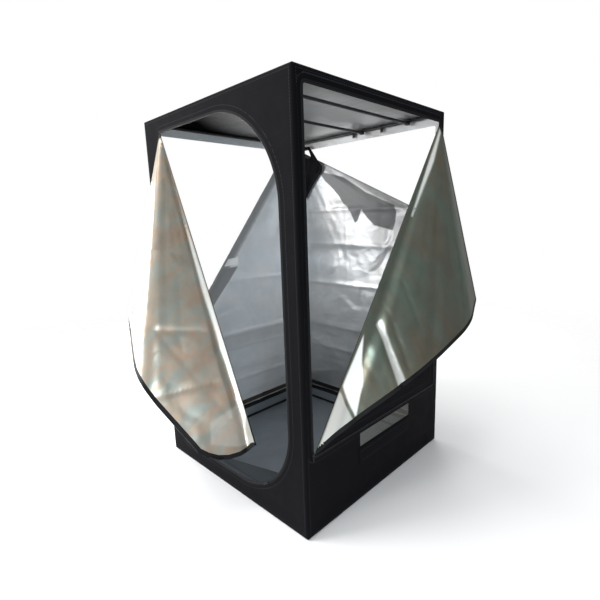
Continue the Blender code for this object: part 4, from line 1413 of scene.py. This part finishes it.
@dataclass(frozen=True)
class OxfordCloth(Finish):
    """Black polyester oxford with a coated back: a matt plain weave that greys a little where it is creased."""

    dark: str = "060608"
    light: str = "0c0c0f"
    thread_mm: float = 1.6
    mottle_mm: float = 90.0
    stitch_mm: float = 6.0

    def make(self) -> bpy.types.Material:
        """Build the material. The weave is drawn at three times its real spacing so that it shows."""
        material, tree, shader = self.begin()
        place = add_node(tree, "UVMap", uv_map="cloth").outputs["UV"]
        weave = self.weave(tree, place, self.thread_mm)
        mottle = add_node(tree, "TexNoise", {
            "Vector": place, "Scale": 1000 / self.mottle_mm, "Detail": 6.0, "Roughness": 0.6})
        tone = add_node(tree, "Math", {0: mottle.outputs["Fac"], 1: 0.75}, operation="MULTIPLY")
        tone = add_node(tree, "Math", {0: weave, 1: 0.35, 2: tone}, operation="MULTIPLY_ADD")
        gap = add_node(tree, "Attribute", attribute_name="edge_gap")
        seam = add_node(tree, "Math", {0: gap.outputs["Fac"], 1: 0.019, 2: 0.0011}, operation="COMPARE")
        split = add_node(tree, "SeparateXYZ", {"Vector": place})
        along = add_node(tree, "Math", {0: split, 1: split.outputs[1]}, operation="ADD")
        dash = add_node(tree, "Math", {0: along, 1: self.stitch_mm / 1000}, operation="PINGPONG")
        dash = add_node(tree, "Math", {0: dash, 1: self.stitch_mm / 3000}, operation="GREATER_THAN")
        stitch = add_node(tree, "Math", {0: seam, 1: dash}, operation="MULTIPLY")
        colour = add_node(tree, "Mix", {"Factor": tone, 6: linear(self.dark), 7: linear(self.light)}, data_type="RGBA")
        sewn = add_node(tree, "Mix", {"Factor": stitch, 6: colour.outputs[2], 7: linear("2b2b31")}, data_type="RGBA")
        creases = add_node(tree, "TexNoise", {"Vector": place, "Scale": 26.0, "Detail": 4.0, "Roughness": 0.55})
        soft = add_node(tree, "Bump", {"Height": creases.outputs["Fac"], "Strength": 0.25, "Distance": 0.003})
        height = add_node(tree, "Math", {0: weave, 1: stitch}, operation="ADD")
        fine = add_node(tree, "Bump", {"Height": height, "Strength": 0.35, "Distance": 0.0004, "Normal": soft})
        rough = add_node(tree, "MapRange", {"Value": mottle.outputs["Fac"], "To Min": 0.62, "To Max": 0.82})
        set_inputs(tree, shader, {
            "Base Color": sewn.outputs[2], "Normal": fine, "Roughness": rough, "Specular IOR Level": 0.05,
            "Sheen Weight": 0.012, "Sheen Roughness": 0.45})
        return material


@dataclass(frozen=True)
class SilverFilm(Finish):
    """Aluminised polyester film bonded to cloth: a creased mirror whose small facets each catch other light."""

    # dark, light, warm and cool are painted reflection: the colours the creased film shows of its surroundings.
    dark: str = "c9cbce"
    light: str = "eeeff0"
    warm: str = "d8cdbd"
    cool: str = "c9d2d9"
    patch_mm: float = 320.0
    roughness: float = 0.30
    tint: float = 0.25
    metallic: float = 0.78
    crease_mm: float = 110.0
    grain_mm: float = 3.6
    crease_strength: float = 0.30
    # The colours that painted highlights and painted shade mix the film towards.
    glare: str = "f3f4f1"
    painted_shade: str = "060607"

    def make(self) -> bpy.types.Material:
        """Build the material: metal colour with painted reflection in a drift of tone and tint, painted shade and
        painted highlights from the cloth's shade, creases and the weave below.
        """
        material, tree, shader = self.begin()
        place = add_node(tree, "UVMap", uv_map="cloth").outputs["UV"]
        leaning = add_node(tree, "Mapping", {"Vector": place, "Rotation": (0, 0, 0.7), "Scale": (0.55, 1.25, 1.0)})
        # Painted reflection: noise drifts the metal colour between dark and light and between cool and warm tints.
        drift = add_node(tree, "TexNoise", {
            "Vector": leaning, "Scale": 1000 / self.patch_mm, "Detail": 5.0, "Roughness": 0.62, "Distortion": 0.5})
        spread = add_node(tree, "MapRange", {"Value": drift.outputs["Fac"], "From Min": 0.36, "From Max": 0.64})
        tone = add_node(tree, "TexNoise", {"Vector": place, "Scale": 9.0, "Detail": 6.0, "Roughness": 0.6})
        metal = add_node(tree, "Mix", {
            "Factor": tone.outputs["Fac"], 6: linear(self.dark), 7: linear(self.light)}, data_type="RGBA")
        hue = add_node(tree, "Mix", {"Factor": spread, 6: linear(self.cool), 7: linear(self.warm)}, data_type="RGBA")
        tinted = add_node(tree, "Mix", {"Factor": self.tint, 6: metal.outputs[2], 7: hue.outputs[2]}, data_type="RGBA")
        # Painted shade: the cloth's shade mixes the colour towards the shade colour and takes away metal and gloss.
        # Below zero it is a painted highlight that mixes towards the glare colour.
        painted_shade = add_node(tree, "Attribute", attribute_name="shade")
        shaded = add_node(tree, "Mix", {
            "Factor": painted_shade.outputs["Fac"], 6: tinted.outputs[2], 7: linear(self.painted_shade)}, data_type="RGBA")
        bright = add_node(tree, "Math", {0: painted_shade.outputs["Fac"], 1: -1.0}, operation="MULTIPLY")
        lit = add_node(tree, "Mix", {"Factor": bright, 6: shaded.outputs[2], 7: linear(self.glare)}, data_type="RGBA")
        change = add_node(tree, "Math", {0: painted_shade.outputs["Fac"]}, operation="ABSOLUTE")
        kept = add_node(tree, "Math", {0: change, 1: -self.metallic, 2: self.metallic}, operation="MULTIPLY_ADD")
        gloss = add_node(tree, "Math", {0: change, 1: -0.5, 2: 0.5}, operation="MULTIPLY_ADD")
        stretched = add_node(tree, "Mapping", {"Vector": place, "Scale": (0.6, 1.5, 1.0)})
        long_creases = add_node(tree, "TexNoise", {
            "Vector": stretched, "Scale": 1000 / self.crease_mm, "Detail": 5.0, "Roughness": 0.42,
            "Distortion": 0.8}, noise_type="RIDGED_MULTIFRACTAL")
        creased = add_node(tree, "Bump", {
            "Height": long_creases.outputs["Fac"], "Strength": self.crease_strength, "Distance": 0.006})
        weave = self.weave(tree, place, self.grain_mm)
        grain = add_node(tree, "Bump", {"Height": weave, "Strength": 0.10, "Distance": 0.0003, "Normal": creased})
        rough = add_node(tree, "MapRange", {
            "Value": tone.outputs["Fac"], "To Min": self.roughness - 0.05, "To Max": self.roughness + 0.10})
        set_inputs(tree, shader, {
            "Base Color": lit.outputs[2], "Metallic": kept, "Specular IOR Level": gloss, "Normal": grain,
            "Roughness": rough})
        return material


@dataclass(frozen=True)
class TrayCloth(Finish):
    """Slate-grey coated polyethylene cloth: smooth and faintly glossy, with a coarse tape weave and black binding."""

    dark: str = "6d757c"
    light: str = "8a939a"
    weave_mm: float = 5.0
    hem_from: float = 0.079
    seam_to: float = 0.017
    wall_at: float = 0.560

    def make(self) -> bpy.types.Material:
        """Build the material in the piece's own place."""
        material, tree, shader = self.begin()
        place = add_node(tree, "TexCoord").outputs["Object"]
        mottle = add_node(tree, "TexNoise", {"Vector": place, "Scale": 7.0, "Detail": 6.0})
        colour = add_node(tree, "Mix", {
            "Factor": mottle.outputs["Fac"], 6: linear(self.dark), 7: linear(self.light)}, data_type="RGBA")
        split = add_node(tree, "SeparateXYZ", {"Vector": place})
        sides = [add_node(tree, "Math", {0: split.outputs[axis]}, operation="ABSOLUTE") for axis in (0, 1)]
        widest = add_node(tree, "Math", {0: sides[0].outputs[0], 1: sides[1].outputs[0]}, operation="MAXIMUM")
        on_wall = add_node(tree, "Math", {0: widest, 1: self.wall_at}, operation="GREATER_THAN")
        low = add_node(tree, "Math", {0: split.outputs[2], 1: self.seam_to}, operation="LESS_THAN")
        seam = add_node(tree, "Math", {0: on_wall, 1: low}, operation="MULTIPLY")
        high = add_node(tree, "Math", {0: split.outputs[2], 1: self.hem_from}, operation="GREATER_THAN")
        bound = add_node(tree, "Math", {0: seam, 1: high}, operation="MAXIMUM")
        edged = add_node(tree, "Mix", {"Factor": bound, 6: colour.outputs[2], 7: linear("08080a")}, data_type="RGBA")
        weave = self.weave(tree, place, self.weave_mm)
        ripple = add_node(tree, "TexNoise", {"Vector": place, "Scale": 22.0, "Detail": 3.0})
        soft = add_node(tree, "Bump", {"Height": ripple.outputs["Fac"], "Strength": 0.3, "Distance": 0.004})
        fine = add_node(tree, "Bump", {"Height": weave, "Strength": 0.3, "Distance": 0.0004, "Normal": soft})
        rough = add_node(tree, "MapRange", {"Value": mottle.outputs["Fac"], "To Min": 0.38, "To Max": 0.55})
        set_inputs(tree, shader, {"Base Color": edged.outputs[2], "Normal": fine, "Roughness": rough})
        return material


@dataclass(frozen=True)
class ZipWeave(Finish):
    """Black polyester zip: a ribbed matt tape, with glossier nylon coils along its inner edge."""

    dark: str = "08080a"
    light: str = "151518"
    rib_mm: float = 1.4
    tooth_mm: float = 2.4

    def make(self) -> bpy.types.Material:
        """Build the material along the tape. Teeth are drawn at twice their real spacing so that they show."""
        material, tree, shader = self.begin()
        place = add_node(tree, "UVMap", uv_map="cloth").outputs["UV"]
        ribs = add_node(tree, "TexWave", {
            "Vector": place, "Scale": band_scale(self.rib_mm), "Distortion": 0.4}, bands_direction="DIAGONAL")
        teeth = add_node(tree, "TexWave", {"Vector": place, "Scale": band_scale(self.tooth_mm)}, bands_direction="X")
        split = add_node(tree, "SeparateXYZ", {"Vector": place})
        on_coil = add_node(tree, "Math", {0: split.outputs[1], 1: 0.0055}, operation="LESS_THAN")
        height = add_node(tree, "Mix", {
            "Factor": on_coil, 2: ribs.outputs["Fac"], 3: teeth.outputs["Fac"]}, data_type="FLOAT")
        worn = add_node(tree, "TexNoise", {"Vector": place, "Scale": 40.0, "Detail": 4.0})
        tone = add_node(tree, "Math", {0: height, 1: worn.outputs["Fac"]}, operation="MULTIPLY")
        colour = add_node(tree, "Mix", {"Factor": tone, 6: linear(self.dark), 7: linear(self.light)}, data_type="RGBA")
        relief = add_node(tree, "Bump", {"Height": height, "Strength": 0.5, "Distance": 0.0006})
        rough = add_node(tree, "MapRange", {"Value": on_coil, "To Min": 0.82, "To Max": 0.42})
        set_inputs(tree, shader, {
            "Base Color": colour.outputs[2], "Normal": relief, "Roughness": rough, "Specular IOR Level": 0.2})
        return material


@dataclass(frozen=True)
class Skin(Finish):
    """A coated, moulded, cast or ribbed skin: a fine relief, and worn patches in a second tone and gloss."""

    dark: str
    light: str
    relief_mm: float
    wear_mm: float
    worn: tuple = (0.0, 1.0)
    rough: tuple = (0.42, 0.60)
    ribs: str = ""
    strength: float = 0.2
    metallic: float = 0.0

    def make(self) -> bpy.types.Material:
        """Build the material in the piece's own place."""
        material, tree, shader = self.begin()
        place = add_node(tree, "TexCoord").outputs["Object"]
        wear = add_node(tree, "TexNoise", {
            "Vector": place, "Scale": 1000 / self.wear_mm, "Detail": 6.0, "Roughness": 0.7})
        sharp = add_node(tree, "MapRange", {
            "Value": wear.outputs["Fac"], "From Min": self.worn[0], "From Max": self.worn[1]})
        tone = sharp.outputs[0]
        if self.ribs:
            relief = add_node(tree, "TexWave", {
                "Vector": place, "Scale": band_scale(self.relief_mm), "Distortion": 0.3}, bands_direction=self.ribs)
            tone = add_node(tree, "Math", {0: relief.outputs["Fac"], 1: tone}, operation="MULTIPLY").outputs[0]
        else:
            relief = add_node(tree, "TexNoise", {"Vector": place, "Scale": 1000 / self.relief_mm, "Detail": 2.0})
        colour = add_node(tree, "Mix", {"Factor": tone, 6: linear(self.dark), 7: linear(self.light)}, data_type="RGBA")
        bump = add_node(tree, "Bump", {"Height": relief.outputs["Fac"], "Strength": self.strength, "Distance": 0.0003})
        gloss = add_node(tree, "MapRange", {"Value": sharp, "To Min": self.rough[0], "To Max": self.rough[1]})
        set_inputs(tree, shader, {
            "Base Color": colour.outputs[2], "Normal": bump, "Roughness": gloss, "Metallic": self.metallic})
        return material


@dataclass(frozen=True)
class StudioFloor(Finish):
    """A plain pale studio floor that fades out away from the tent."""

    fade_from: float = 1.6
    fade_to: float = 5.5

    def make(self) -> bpy.types.Material:
        """Build the floor's material."""
        material, tree, shader = self.begin()
        place = add_node(tree, "TexCoord").outputs["Object"]
        tone = add_node(tree, "TexNoise", {"Vector": place, "Scale": 1.3})
        colour = add_node(tree, "Mix", {
            "Factor": tone.outputs["Fac"], 6: linear("f6f6f6"), 7: linear("fafafa")}, data_type="RGBA")
        away = add_node(tree, "VectorMath", {0: place}, operation="LENGTH")
        solid = add_node(tree, "MapRange", {
            "Value": away.outputs["Value"], "From Min": self.fade_from, "From Max": self.fade_to, "To Min": 1.0,
            "To Max": 0.0}, interpolation_type="SMOOTHSTEP")
        set_inputs(tree, shader, {
            "Base Color": colour.outputs[2], "Roughness": 0.9, "Specular IOR Level": 0.0, "Alpha": solid})
        return material


# The studio


@dataclass
class Studio:
    """The camera at the photograph's angle, soft lights and a pale floor."""

    place: tuple = (1.76088, -1.75457, 1.43000)
    azimuth: float = math.radians(45.14317)
    elevation: float = math.radians(10.88999)
    roll: float = math.radians(-1.97274)
    lens: float = 24.943
    floor_radius: float = 7.0
    room_low: float = 0.04
    room_high: float = 1.10
    window_side: tuple = (-0.75, -0.55, 0.35)
    lights: tuple = (
        ("front_left", (-2.6, -3.7, 1.9), (0, 0, 1.0), (2.6, 3.2), 250.0),
        ("left", (-4.4, 0.5, 0.9), (0, 0, 0.9), (2.2, 2.6), 190.0),
        ("top", (-0.4, -0.8, 4.6), (0, 0, 0), (3.0, 3.0), 90.0),
        ("back", (-2.4, 4.0, 2.4), (0, 0, 0.9), (2.0, 2.0), 50.0),
        ("camera_side", (3.9, -2.3, 1.5), (0, 0, 1.0), (1.6, 2.2), 95.0),
    )
    camera_side_tint: tuple = (0.86, 0.94, 1.0)

    def build(self) -> None:
        """Set up the whole studio."""
        self.build_camera()
        self.build_world()
        self.build_lights()
        self.build_floor()
        LOG.info("studio in place")

    def build_camera(self) -> None:
        """Set up the camera."""
        data = bpy.data.cameras.new("camera")
        data.lens = self.lens
        data.sensor_width = 36.0
        camera = add_object("camera", data)
        back = Vector((math.sin(self.azimuth) * math.cos(self.elevation),
                       -math.cos(self.azimuth) * math.cos(self.elevation), math.sin(self.elevation)))
        right = (-back).cross(Vector((0, 0, 1))).normalized()
        up = right.cross(-back)
        tilted_right = math.cos(self.roll) * right + math.sin(self.roll) * up
        tilted_up = -math.sin(self.roll) * right + math.cos(self.roll) * up
        camera.matrix_world = Matrix.Translation(self.place) @ Matrix(
            (tilted_right, tilted_up, back)).transposed().to_4x4()
        bpy.context.scene.camera = camera

    def build_world(self) -> None:
        """Set up the pale surroundings: white behind the tent, and a room with one bright side in its reflections."""
        world = bpy.data.worlds.new("studio")
        world.use_nodes = True
        tree = world.node_tree
        shade = tree.nodes["Background"]
        way = add_node(tree, "TexCoord").outputs["Generated"]
        facing = add_node(tree, "VectorMath", {0: way, 1: self.window_side}, operation="DOT_PRODUCT")
        room = add_node(tree, "MapRange", {
            "Value": facing.outputs["Value"], "From Min": -0.95, "From Max": 1.0, "To Min": self.room_low,
            "To Max": self.room_high})
        seen = add_node(tree, "LightPath")
        level = add_node(tree, "Mix", {"Factor": seen.outputs["Is Camera Ray"], 2: room, 3: 1.0}, data_type="FLOAT")
        set_inputs(tree, shade, {"Strength": level, "Color": linear("ffffff")})
        bpy.context.scene.world = world
        bpy.context.scene.view_settings.view_transform = "Standard"

    def build_lights(self) -> None:
        """Set up the soft lights."""
        for name, place, aim, size, power in self.lights:
            data = bpy.data.lights.new(name, "AREA")
            data.shape = "RECTANGLE"
            data.energy = power
            data.size, data.size_y = size
            light = add_object(name, data)
            light.location = place
            light.rotation_euler = (Vector(aim) - Vector(place)).to_track_quat("-Z", "Y").to_euler()
            light.visible_camera = False
            if name == "camera_side":
                data.color = self.camera_side_tint

    def build_floor(self) -> None:
        """Lay the floor just under the tent. It fades out into the pale surroundings."""
        deselect_all()
        bpy.ops.mesh.primitive_circle_add(vertices=96, radius=self.floor_radius, fill_type="NGON",
                                          location=(0, 0, -0.0005))
        floor = bpy.context.active_object
        floor.name = "studio_floor"
        bpy.ops.object.transform_apply(location=True, rotation=True, scale=True)
        floor.data.materials.append(StudioFloor("pale_studio_floor").make())


@dataclass
class Finishes:
    """Every material of the tent, made once."""

    def __post_init__(self) -> None:
        """Make the materials."""
        self.cover = OxfordCloth("black_oxford_cloth").make()
        self.lining = SilverFilm("aluminised_film_lining").make()
        # The left wall's lining is a lighter copy of the lining, painted light: paler colours and less metal, and a tan
        # colour for its painted shade.
        self.painted_light_lining = SilverFilm("aluminised_film_left_wall", dark="d9e0e6", light="fafbfc", warm="e6e2da",
                                        cool="c8dbe8", metallic=0.35, painted_shade="3a3126").make()
        # The doors' copy of the lining: darker colours with strong warm and cool patches, painted reflection of the
        # room round the flaps.
        self.door_lining = SilverFilm("aluminised_film_door", dark="8f8e88", light="d9d7cd", warm="c69c78",
                                      cool="a3aea4", patch_mm=95.0, tint=0.55, crease_strength=0.16).make()
        # The right door's copy is darker still: painted shade, with green and tan painted reflection.
        self.shaded_lining = SilverFilm("aluminised_film_side_door", dark="52534a", light="8a8b7d", warm="a3927e",
                                        cool="8aa79a", patch_mm=260.0, tint=0.4, crease_strength=0.16).make()
        self.tray = TrayCloth("coated_polyethylene_cloth").make()
        self.sill = TrayCloth("coated_polyethylene_sill", dark="33383c", light="42494e", hem_from=9.0,
                              seam_to=-9.0).make()
        self.zip = ZipWeave("polyester_zip_tape").make()
        # Powder coat: semi-matt, with a fine orange peel and rubbed patches that shine.
        self.tube = Skin("powder_coated_steel", "121214", "2a2a2d", 1.8, 110.0, (0.45, 0.75), (0.42, 0.30)).make()
        # Moulded polypropylene: waxy and pebbled, with paler scuffs.
        self.plastic = Skin("moulded_polypropylene", "111113", "242427", 1.1, 17.0).make()
        # Die-cast zinc with a black coat: dark metal that shines through where fingers rub it.
        self.zinc = Skin("blackened_zinc", "1b1b1d", "77777a", 3.0, 5.2, (0.56, 0.70), (0.46, 0.28),
                         metallic=0.85).make()
        # Coated glass-fibre threads: grey, twisted and dull.
        self.net = Skin("coated_glass_fibre_net", "50504b", "676761", 2.0, 33.0, ribs="DIAGONAL", strength=0.3).make()
        # Polypropylene webbing: ribs across the strap, each with a dull gloss.
        self.webbing = Skin("polypropylene_webbing", "0d0d0f", "232326", 1.6, 3.0, rough=(0.62, 0.76), ribs="Z",
                            strength=0.5).make()


@dataclass
class FrameFinish:
    """The frame's tubes, corners, hooks and sliders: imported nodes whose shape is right, with better finishes."""

    finishes: Finishes

    def dress(self) -> None:
        """Give each shown node its material."""
        tube, plastic, zinc = self.finishes.tube, self.finishes.plastic, self.finishes.zinc
        choices = (("_hook_", plastic), ("_zip_slider", zinc), ("post_", tube), ("_rail_", tube), ("_corner_", plastic),
                   ("hanging_bar_", tube))
        for name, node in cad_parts.items():
            material = next((found for part, found in choices if part in name), None)
            if material is None:
                continue
            if not node.material_slots:
                node.data.materials.append(material)
            for slot in node.material_slots:
                slot.material = material
            LOG.info("%s: %s", name, material.name)


def make_doorways() -> dict[str, Doorway]:
    """Return the four doorways by name."""
    small = (0.012,) * 4
    few = (4,) * 4
    left, right, low, radius = -0.42, 0.495, 0.115, 0.385
    end = math.radians(-55)
    front_end = (right - radius + radius * math.cos(end), low + radius + radius * math.sin(end))
    edge, top = 0.545, 1.935
    return {
        "front": Doorway("front", (0, -1, 0), -1, (left, low), (right, 1.91), (0.012, radius, 0.42, 0.0),
                         (4, 40, 44, 1), front_end, (0.3, 0.6), (102, 86, 10), (4.5, 4.0), 0.906),
        "right": Doorway("right", (1, 0, 0), 1, (-edge, 0.40), (edge, top), small, few, (-edge, 0.40),
                         (1 / 3, 2 / 3), (153, 14, 24), (6.0, 6.0)),
        "back": Doorway("back", (0, 1, 0), 1, (-edge, 0.14), (edge, top), small, few,
                        (-edge, 0.71 * TENT_HEIGHT), (0.5,), (140, 28), (5.0,)),
        "left": Doorway("left", (-1, 0, 0), -1, (-edge, 0.14), (edge, top), small, few,
                        (edge, 0.28 * TENT_HEIGHT), (0.5,), (150, 34), (8.0,)),
    }


# What the photograph shows on the linings, on the flat cloth: pinched creases, stiff facets, and painted shade and
# painted highlights where it shows shadow and glare. A wall's flat places are across and up. A loose door's are
# measured from its top corner.

SKIRT = Patch(rectangle((-0.59, 0.1), (0.59, 0.136)), 0.97, 0.004)
BACK_LEVELS = ((1.483, 0.007), (1.242, 0.008), (0.948, 0.008), (0.619, 0.007), (0.445, 0.006))
BACK_CREASES = tuple(Crease((-0.46, level), (0.46, level + 0.012), height, 0.014) for level, height in BACK_LEVELS)
# Painted shade: a ragged patch below the fold, more over the top of the wall, and a little over the whole wall.
BACK_PATCHES = (
    SKIRT,
    Patch(((0.375, 1.785), (0.297, 1.696), (0.222, 1.634), (0.171, 1.583), (0.133, 1.53), (0.09, 1.501),
           (0.063, 1.459), (0.033, 1.39), (0.003, 1.409), (-0.028, 1.479), (-0.064, 1.434), (-0.129, 1.374),
           (-0.192, 1.36), (-0.275, 1.34), (-0.297, 1.396), (-0.304, 1.459), (-0.289, 1.505), (-0.067, 1.6),
           (0.128, 1.715)), 0.84),
    Patch(rectangle((-0.6, 1.05), (0.6, 2.0)), 0.48, 0.2),
    Patch(rectangle((-0.6, 0.0), (0.6, 2.0)), 0.2, 0.02))
LEFT_LEVELS = ((1.02, 0.004), (0.65, 0.007), (0.54, 0.006), (0.3, 0.006))
LEFT_CREASES = tuple(Crease((-0.46, level), (0.46, level + 0.02), height, 0.014) for level, height in LEFT_LEVELS)
# Painted shade on an olive patch, on the strip along the fold and on a low band, and a painted highlight above the
# olive patch.
LEFT_PATCHES = (
    SKIRT,
    Patch(((0.142, 1.126), (0.006, 1.132), (0.27, 0.84), (0.328, 0.891)), 0.68),
    Patch(((0.135, 1.134), (0.006, 1.136), (0.000, 1.195), (0.095, 1.185)), -1.0),
    Patch(((-0.548, 1.933), (0.542, 0.558), (0.588, 0.594), (-0.502, 1.969)), 0.62, 0.005),
    Patch(rectangle((-0.56, 0.53), (0.56, 0.66)), 0.3, 0.03))
FRONT_HEM = ((0.262, 0.3485), (0.3, 0.349), (0.345, 0.364), (0.396, 0.395), (0.437, 0.436), (0.466, 0.484),
             (0.483, 0.53))
FRONT_BENDS = (
    Bend(((0.6, -1.38), (0.68, -1.64), (0.76, -1.6)), (0.0, 0.0, 0.03)),
    Bend(((0.6, -1.38), (0.76, -1.6), (0.96, -1.33)), (0.0, 0.03, 0.0)))
FRONT_CREASES = (
    Crease((0.5, -0.98), (0.74, -0.78), 0.004), Crease((0.62, -1.2), (0.9, -1.05), 0.004),
    Crease((0.33, -0.62), (0.5, -0.42), 0.003))
# A painted shade line along the fold, a painted highlight beside it, and a faint painted highlight on the facet at the
# hem.
FRONT_PATCHES = (
    Patch(((-0.018, 0.008), (0.742, -1.732), (0.757, -1.725), (0.007, -0.003)), 0.75, 0.004),
    Patch(((0.143, -0.319), (0.359, -0.825), (0.575, -1.321), (0.597, -1.311), (0.394, -0.81),
           (0.262, -0.54)), -0.65, 0.01),
    Patch(((0.589, -1.353), (0.781, -1.312), (0.845, -1.4), (0.76, -1.5), (0.681, -1.56)), -0.18, 0.012))
RIGHT_BENDS = (
    Bend(((-0.742, -1.03), (-0.903, -1.272), (-1.088, -1.278)), (0.0, 0.0, 0.022)),
    Bend(((-0.903, -1.272), (-1.088, -1.278), (-1.088, -1.4)), (0.0, 0.022, 0.007)),
    Bend(((-0.903, -1.272), (-1.088, -1.4), (-1.092, -1.536)), (0.0, 0.007, 0.0)),
    Bend(((-0.742, -1.03), (-1.088, -1.278), (-1.088, -0.977)), (0.0, 0.022, 0.0)))
RIGHT_CREASES = (
    Crease((-0.736, -0.929), (-1.09, -0.977), 0.01, 0.02), Crease((-0.722, -0.853), (-1.038, -0.9), 0.004, 0.008),
    Crease((-0.633, -0.699), (-0.907, -0.73), 0.003, 0.008))
# A painted shade line along the fold, painted highlights on a white facet, a pale facet, the crease and the top of the
# fold, and painted shade on the darker facets.
RIGHT_PATCHES = (
    Patch(((0.016, -0.012), (-1.081, -1.557), (-1.096, -1.546), (-0.003, 0.002)), 0.7, 0.004),
    Patch(((-0.742, -1.02), (-0.9, -1.262), (-1.088, -1.274), (-0.955, -1.15)), -1.0, 0.01),
    Patch(((-0.905, -1.275), (-1.094, -1.282), (-1.094, -1.535)), -0.55, 0.008),
    Patch(((-0.752, -0.972), (-0.95, -1.01), (-1.094, -1.03), (-1.094, -1.27), (-0.96, -1.14)), 0.35, 0.03),
    Patch(((-0.735, -0.9), (-0.9, -0.925), (-1.094, -0.945), (-1.094, -1.01), (-0.9, -0.975),
           (-0.748, -0.95)), -0.55, 0.012),
    Patch(((-0.02, -0.022), (-0.155, -0.197), (-0.372, -0.472), (-0.388, -0.46), (-0.181, -0.165),
           (-0.053, -0.022)), -0.75, 0.012),
    Patch(((0.0, 0.0), (-1.1, -0.8), (-1.235, -0.4)), 0.5, 0.12))


def build_walls(doors: dict[str, Doorway], vent: Vent, finishes: Finishes) -> None:
    """Build the cover's four walls, its roof and its base."""
    cover = [finishes.cover, finishes.lining]
    WallSheet(doors["front"], Crumple(1, amount=0.3), 0.0015).build(cover)
    WallSheet(doors["right"], Crumple(2, amount=0.4), 0.0015, vent.box()).build(cover)
    WallSheet(doors["back"], Crumple(3, facet_slope=0.045, small_slope=0.026, creases=BACK_CREASES), 0.0060, lean=0.05,
              patches=BACK_PATCHES, fold_shade=0.8).build(cover)
    WallSheet(doors["left"], Crumple(4, amount=0.8, creases=LEFT_CREASES), 0.0050, lean=0.08, patches=LEFT_PATCHES,
              fold_shade=0.5, strip=0.050).build([finishes.cover, finishes.painted_light_lining])
    FlatSheet("roof_sheet_cloth", "roof_sheet", True, Crumple(5, amount=0.35), 0.004, 0.60, 0.40).build(cover)
    FlatSheet("base_sheet_cloth", "base_sheet", False, Crumple(6, amount=0.0), 0.0).build([finishes.cover])


def build_doors(doors: dict[str, Doorway], finishes: Finishes) -> None:
    """Build the doors' loose cloth, the gather and the sill flap."""
    cloth = [finishes.cover, finishes.door_lining, finishes.zip]
    LooseDoor(doors["front"], Crumple(11, amount=0.8, bends=FRONT_BENDS, creases=FRONT_CREASES),
              hem_points=FRONT_HEM, roll_width=0.07, patches=FRONT_PATCHES).build(cloth)
    LooseDoor(doors["right"], Crumple(12, amount=0.5, bends=RIGHT_BENDS, creases=RIGHT_CREASES), roll=0.011,
              roll_width=0.13, patches=RIGHT_PATCHES).build([finishes.cover, finishes.shaded_lining, finishes.zip])
    LooseDoor(doors["back"], Crumple(13, amount=0.8)).build(cloth)
    LooseDoor(doors["left"], Crumple(14, amount=0.8)).build(cloth)
    CornerGather(doors["back"]).build([finishes.cover])
    SillFlap(doors["front"]).build([finishes.sill, finishes.sill, finishes.zip])


def keep_sizes() -> None:
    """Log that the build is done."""
    LOG.info("sizes kept")


def main() -> None:
    """Build the studio and the tent's pieces in order, then log that the build is done."""
    deselect_all()
    Studio().build()
    finishes = Finishes()
    FrameFinish(finishes).dress()
    doors = make_doorways()
    vent = Vent(doors["right"])
    build_walls(doors, vent, finishes)
    build_doors(doors, finishes)
    for door in doors.values():
        ZipTape(door).build(finishes.zip)
    vent.build_net(finishes.net)
    vent.build_cover([finishes.cover])
    FloorTray().build(finishes.tray)
    for name, place in (("rail_strap_left", -0.03), ("rail_strap_right", 0.19)):
        RailTie(name, place).build(finishes.webbing)
    deselect_all()
    keep_sizes()


if __name__ == "__main__":
    main()
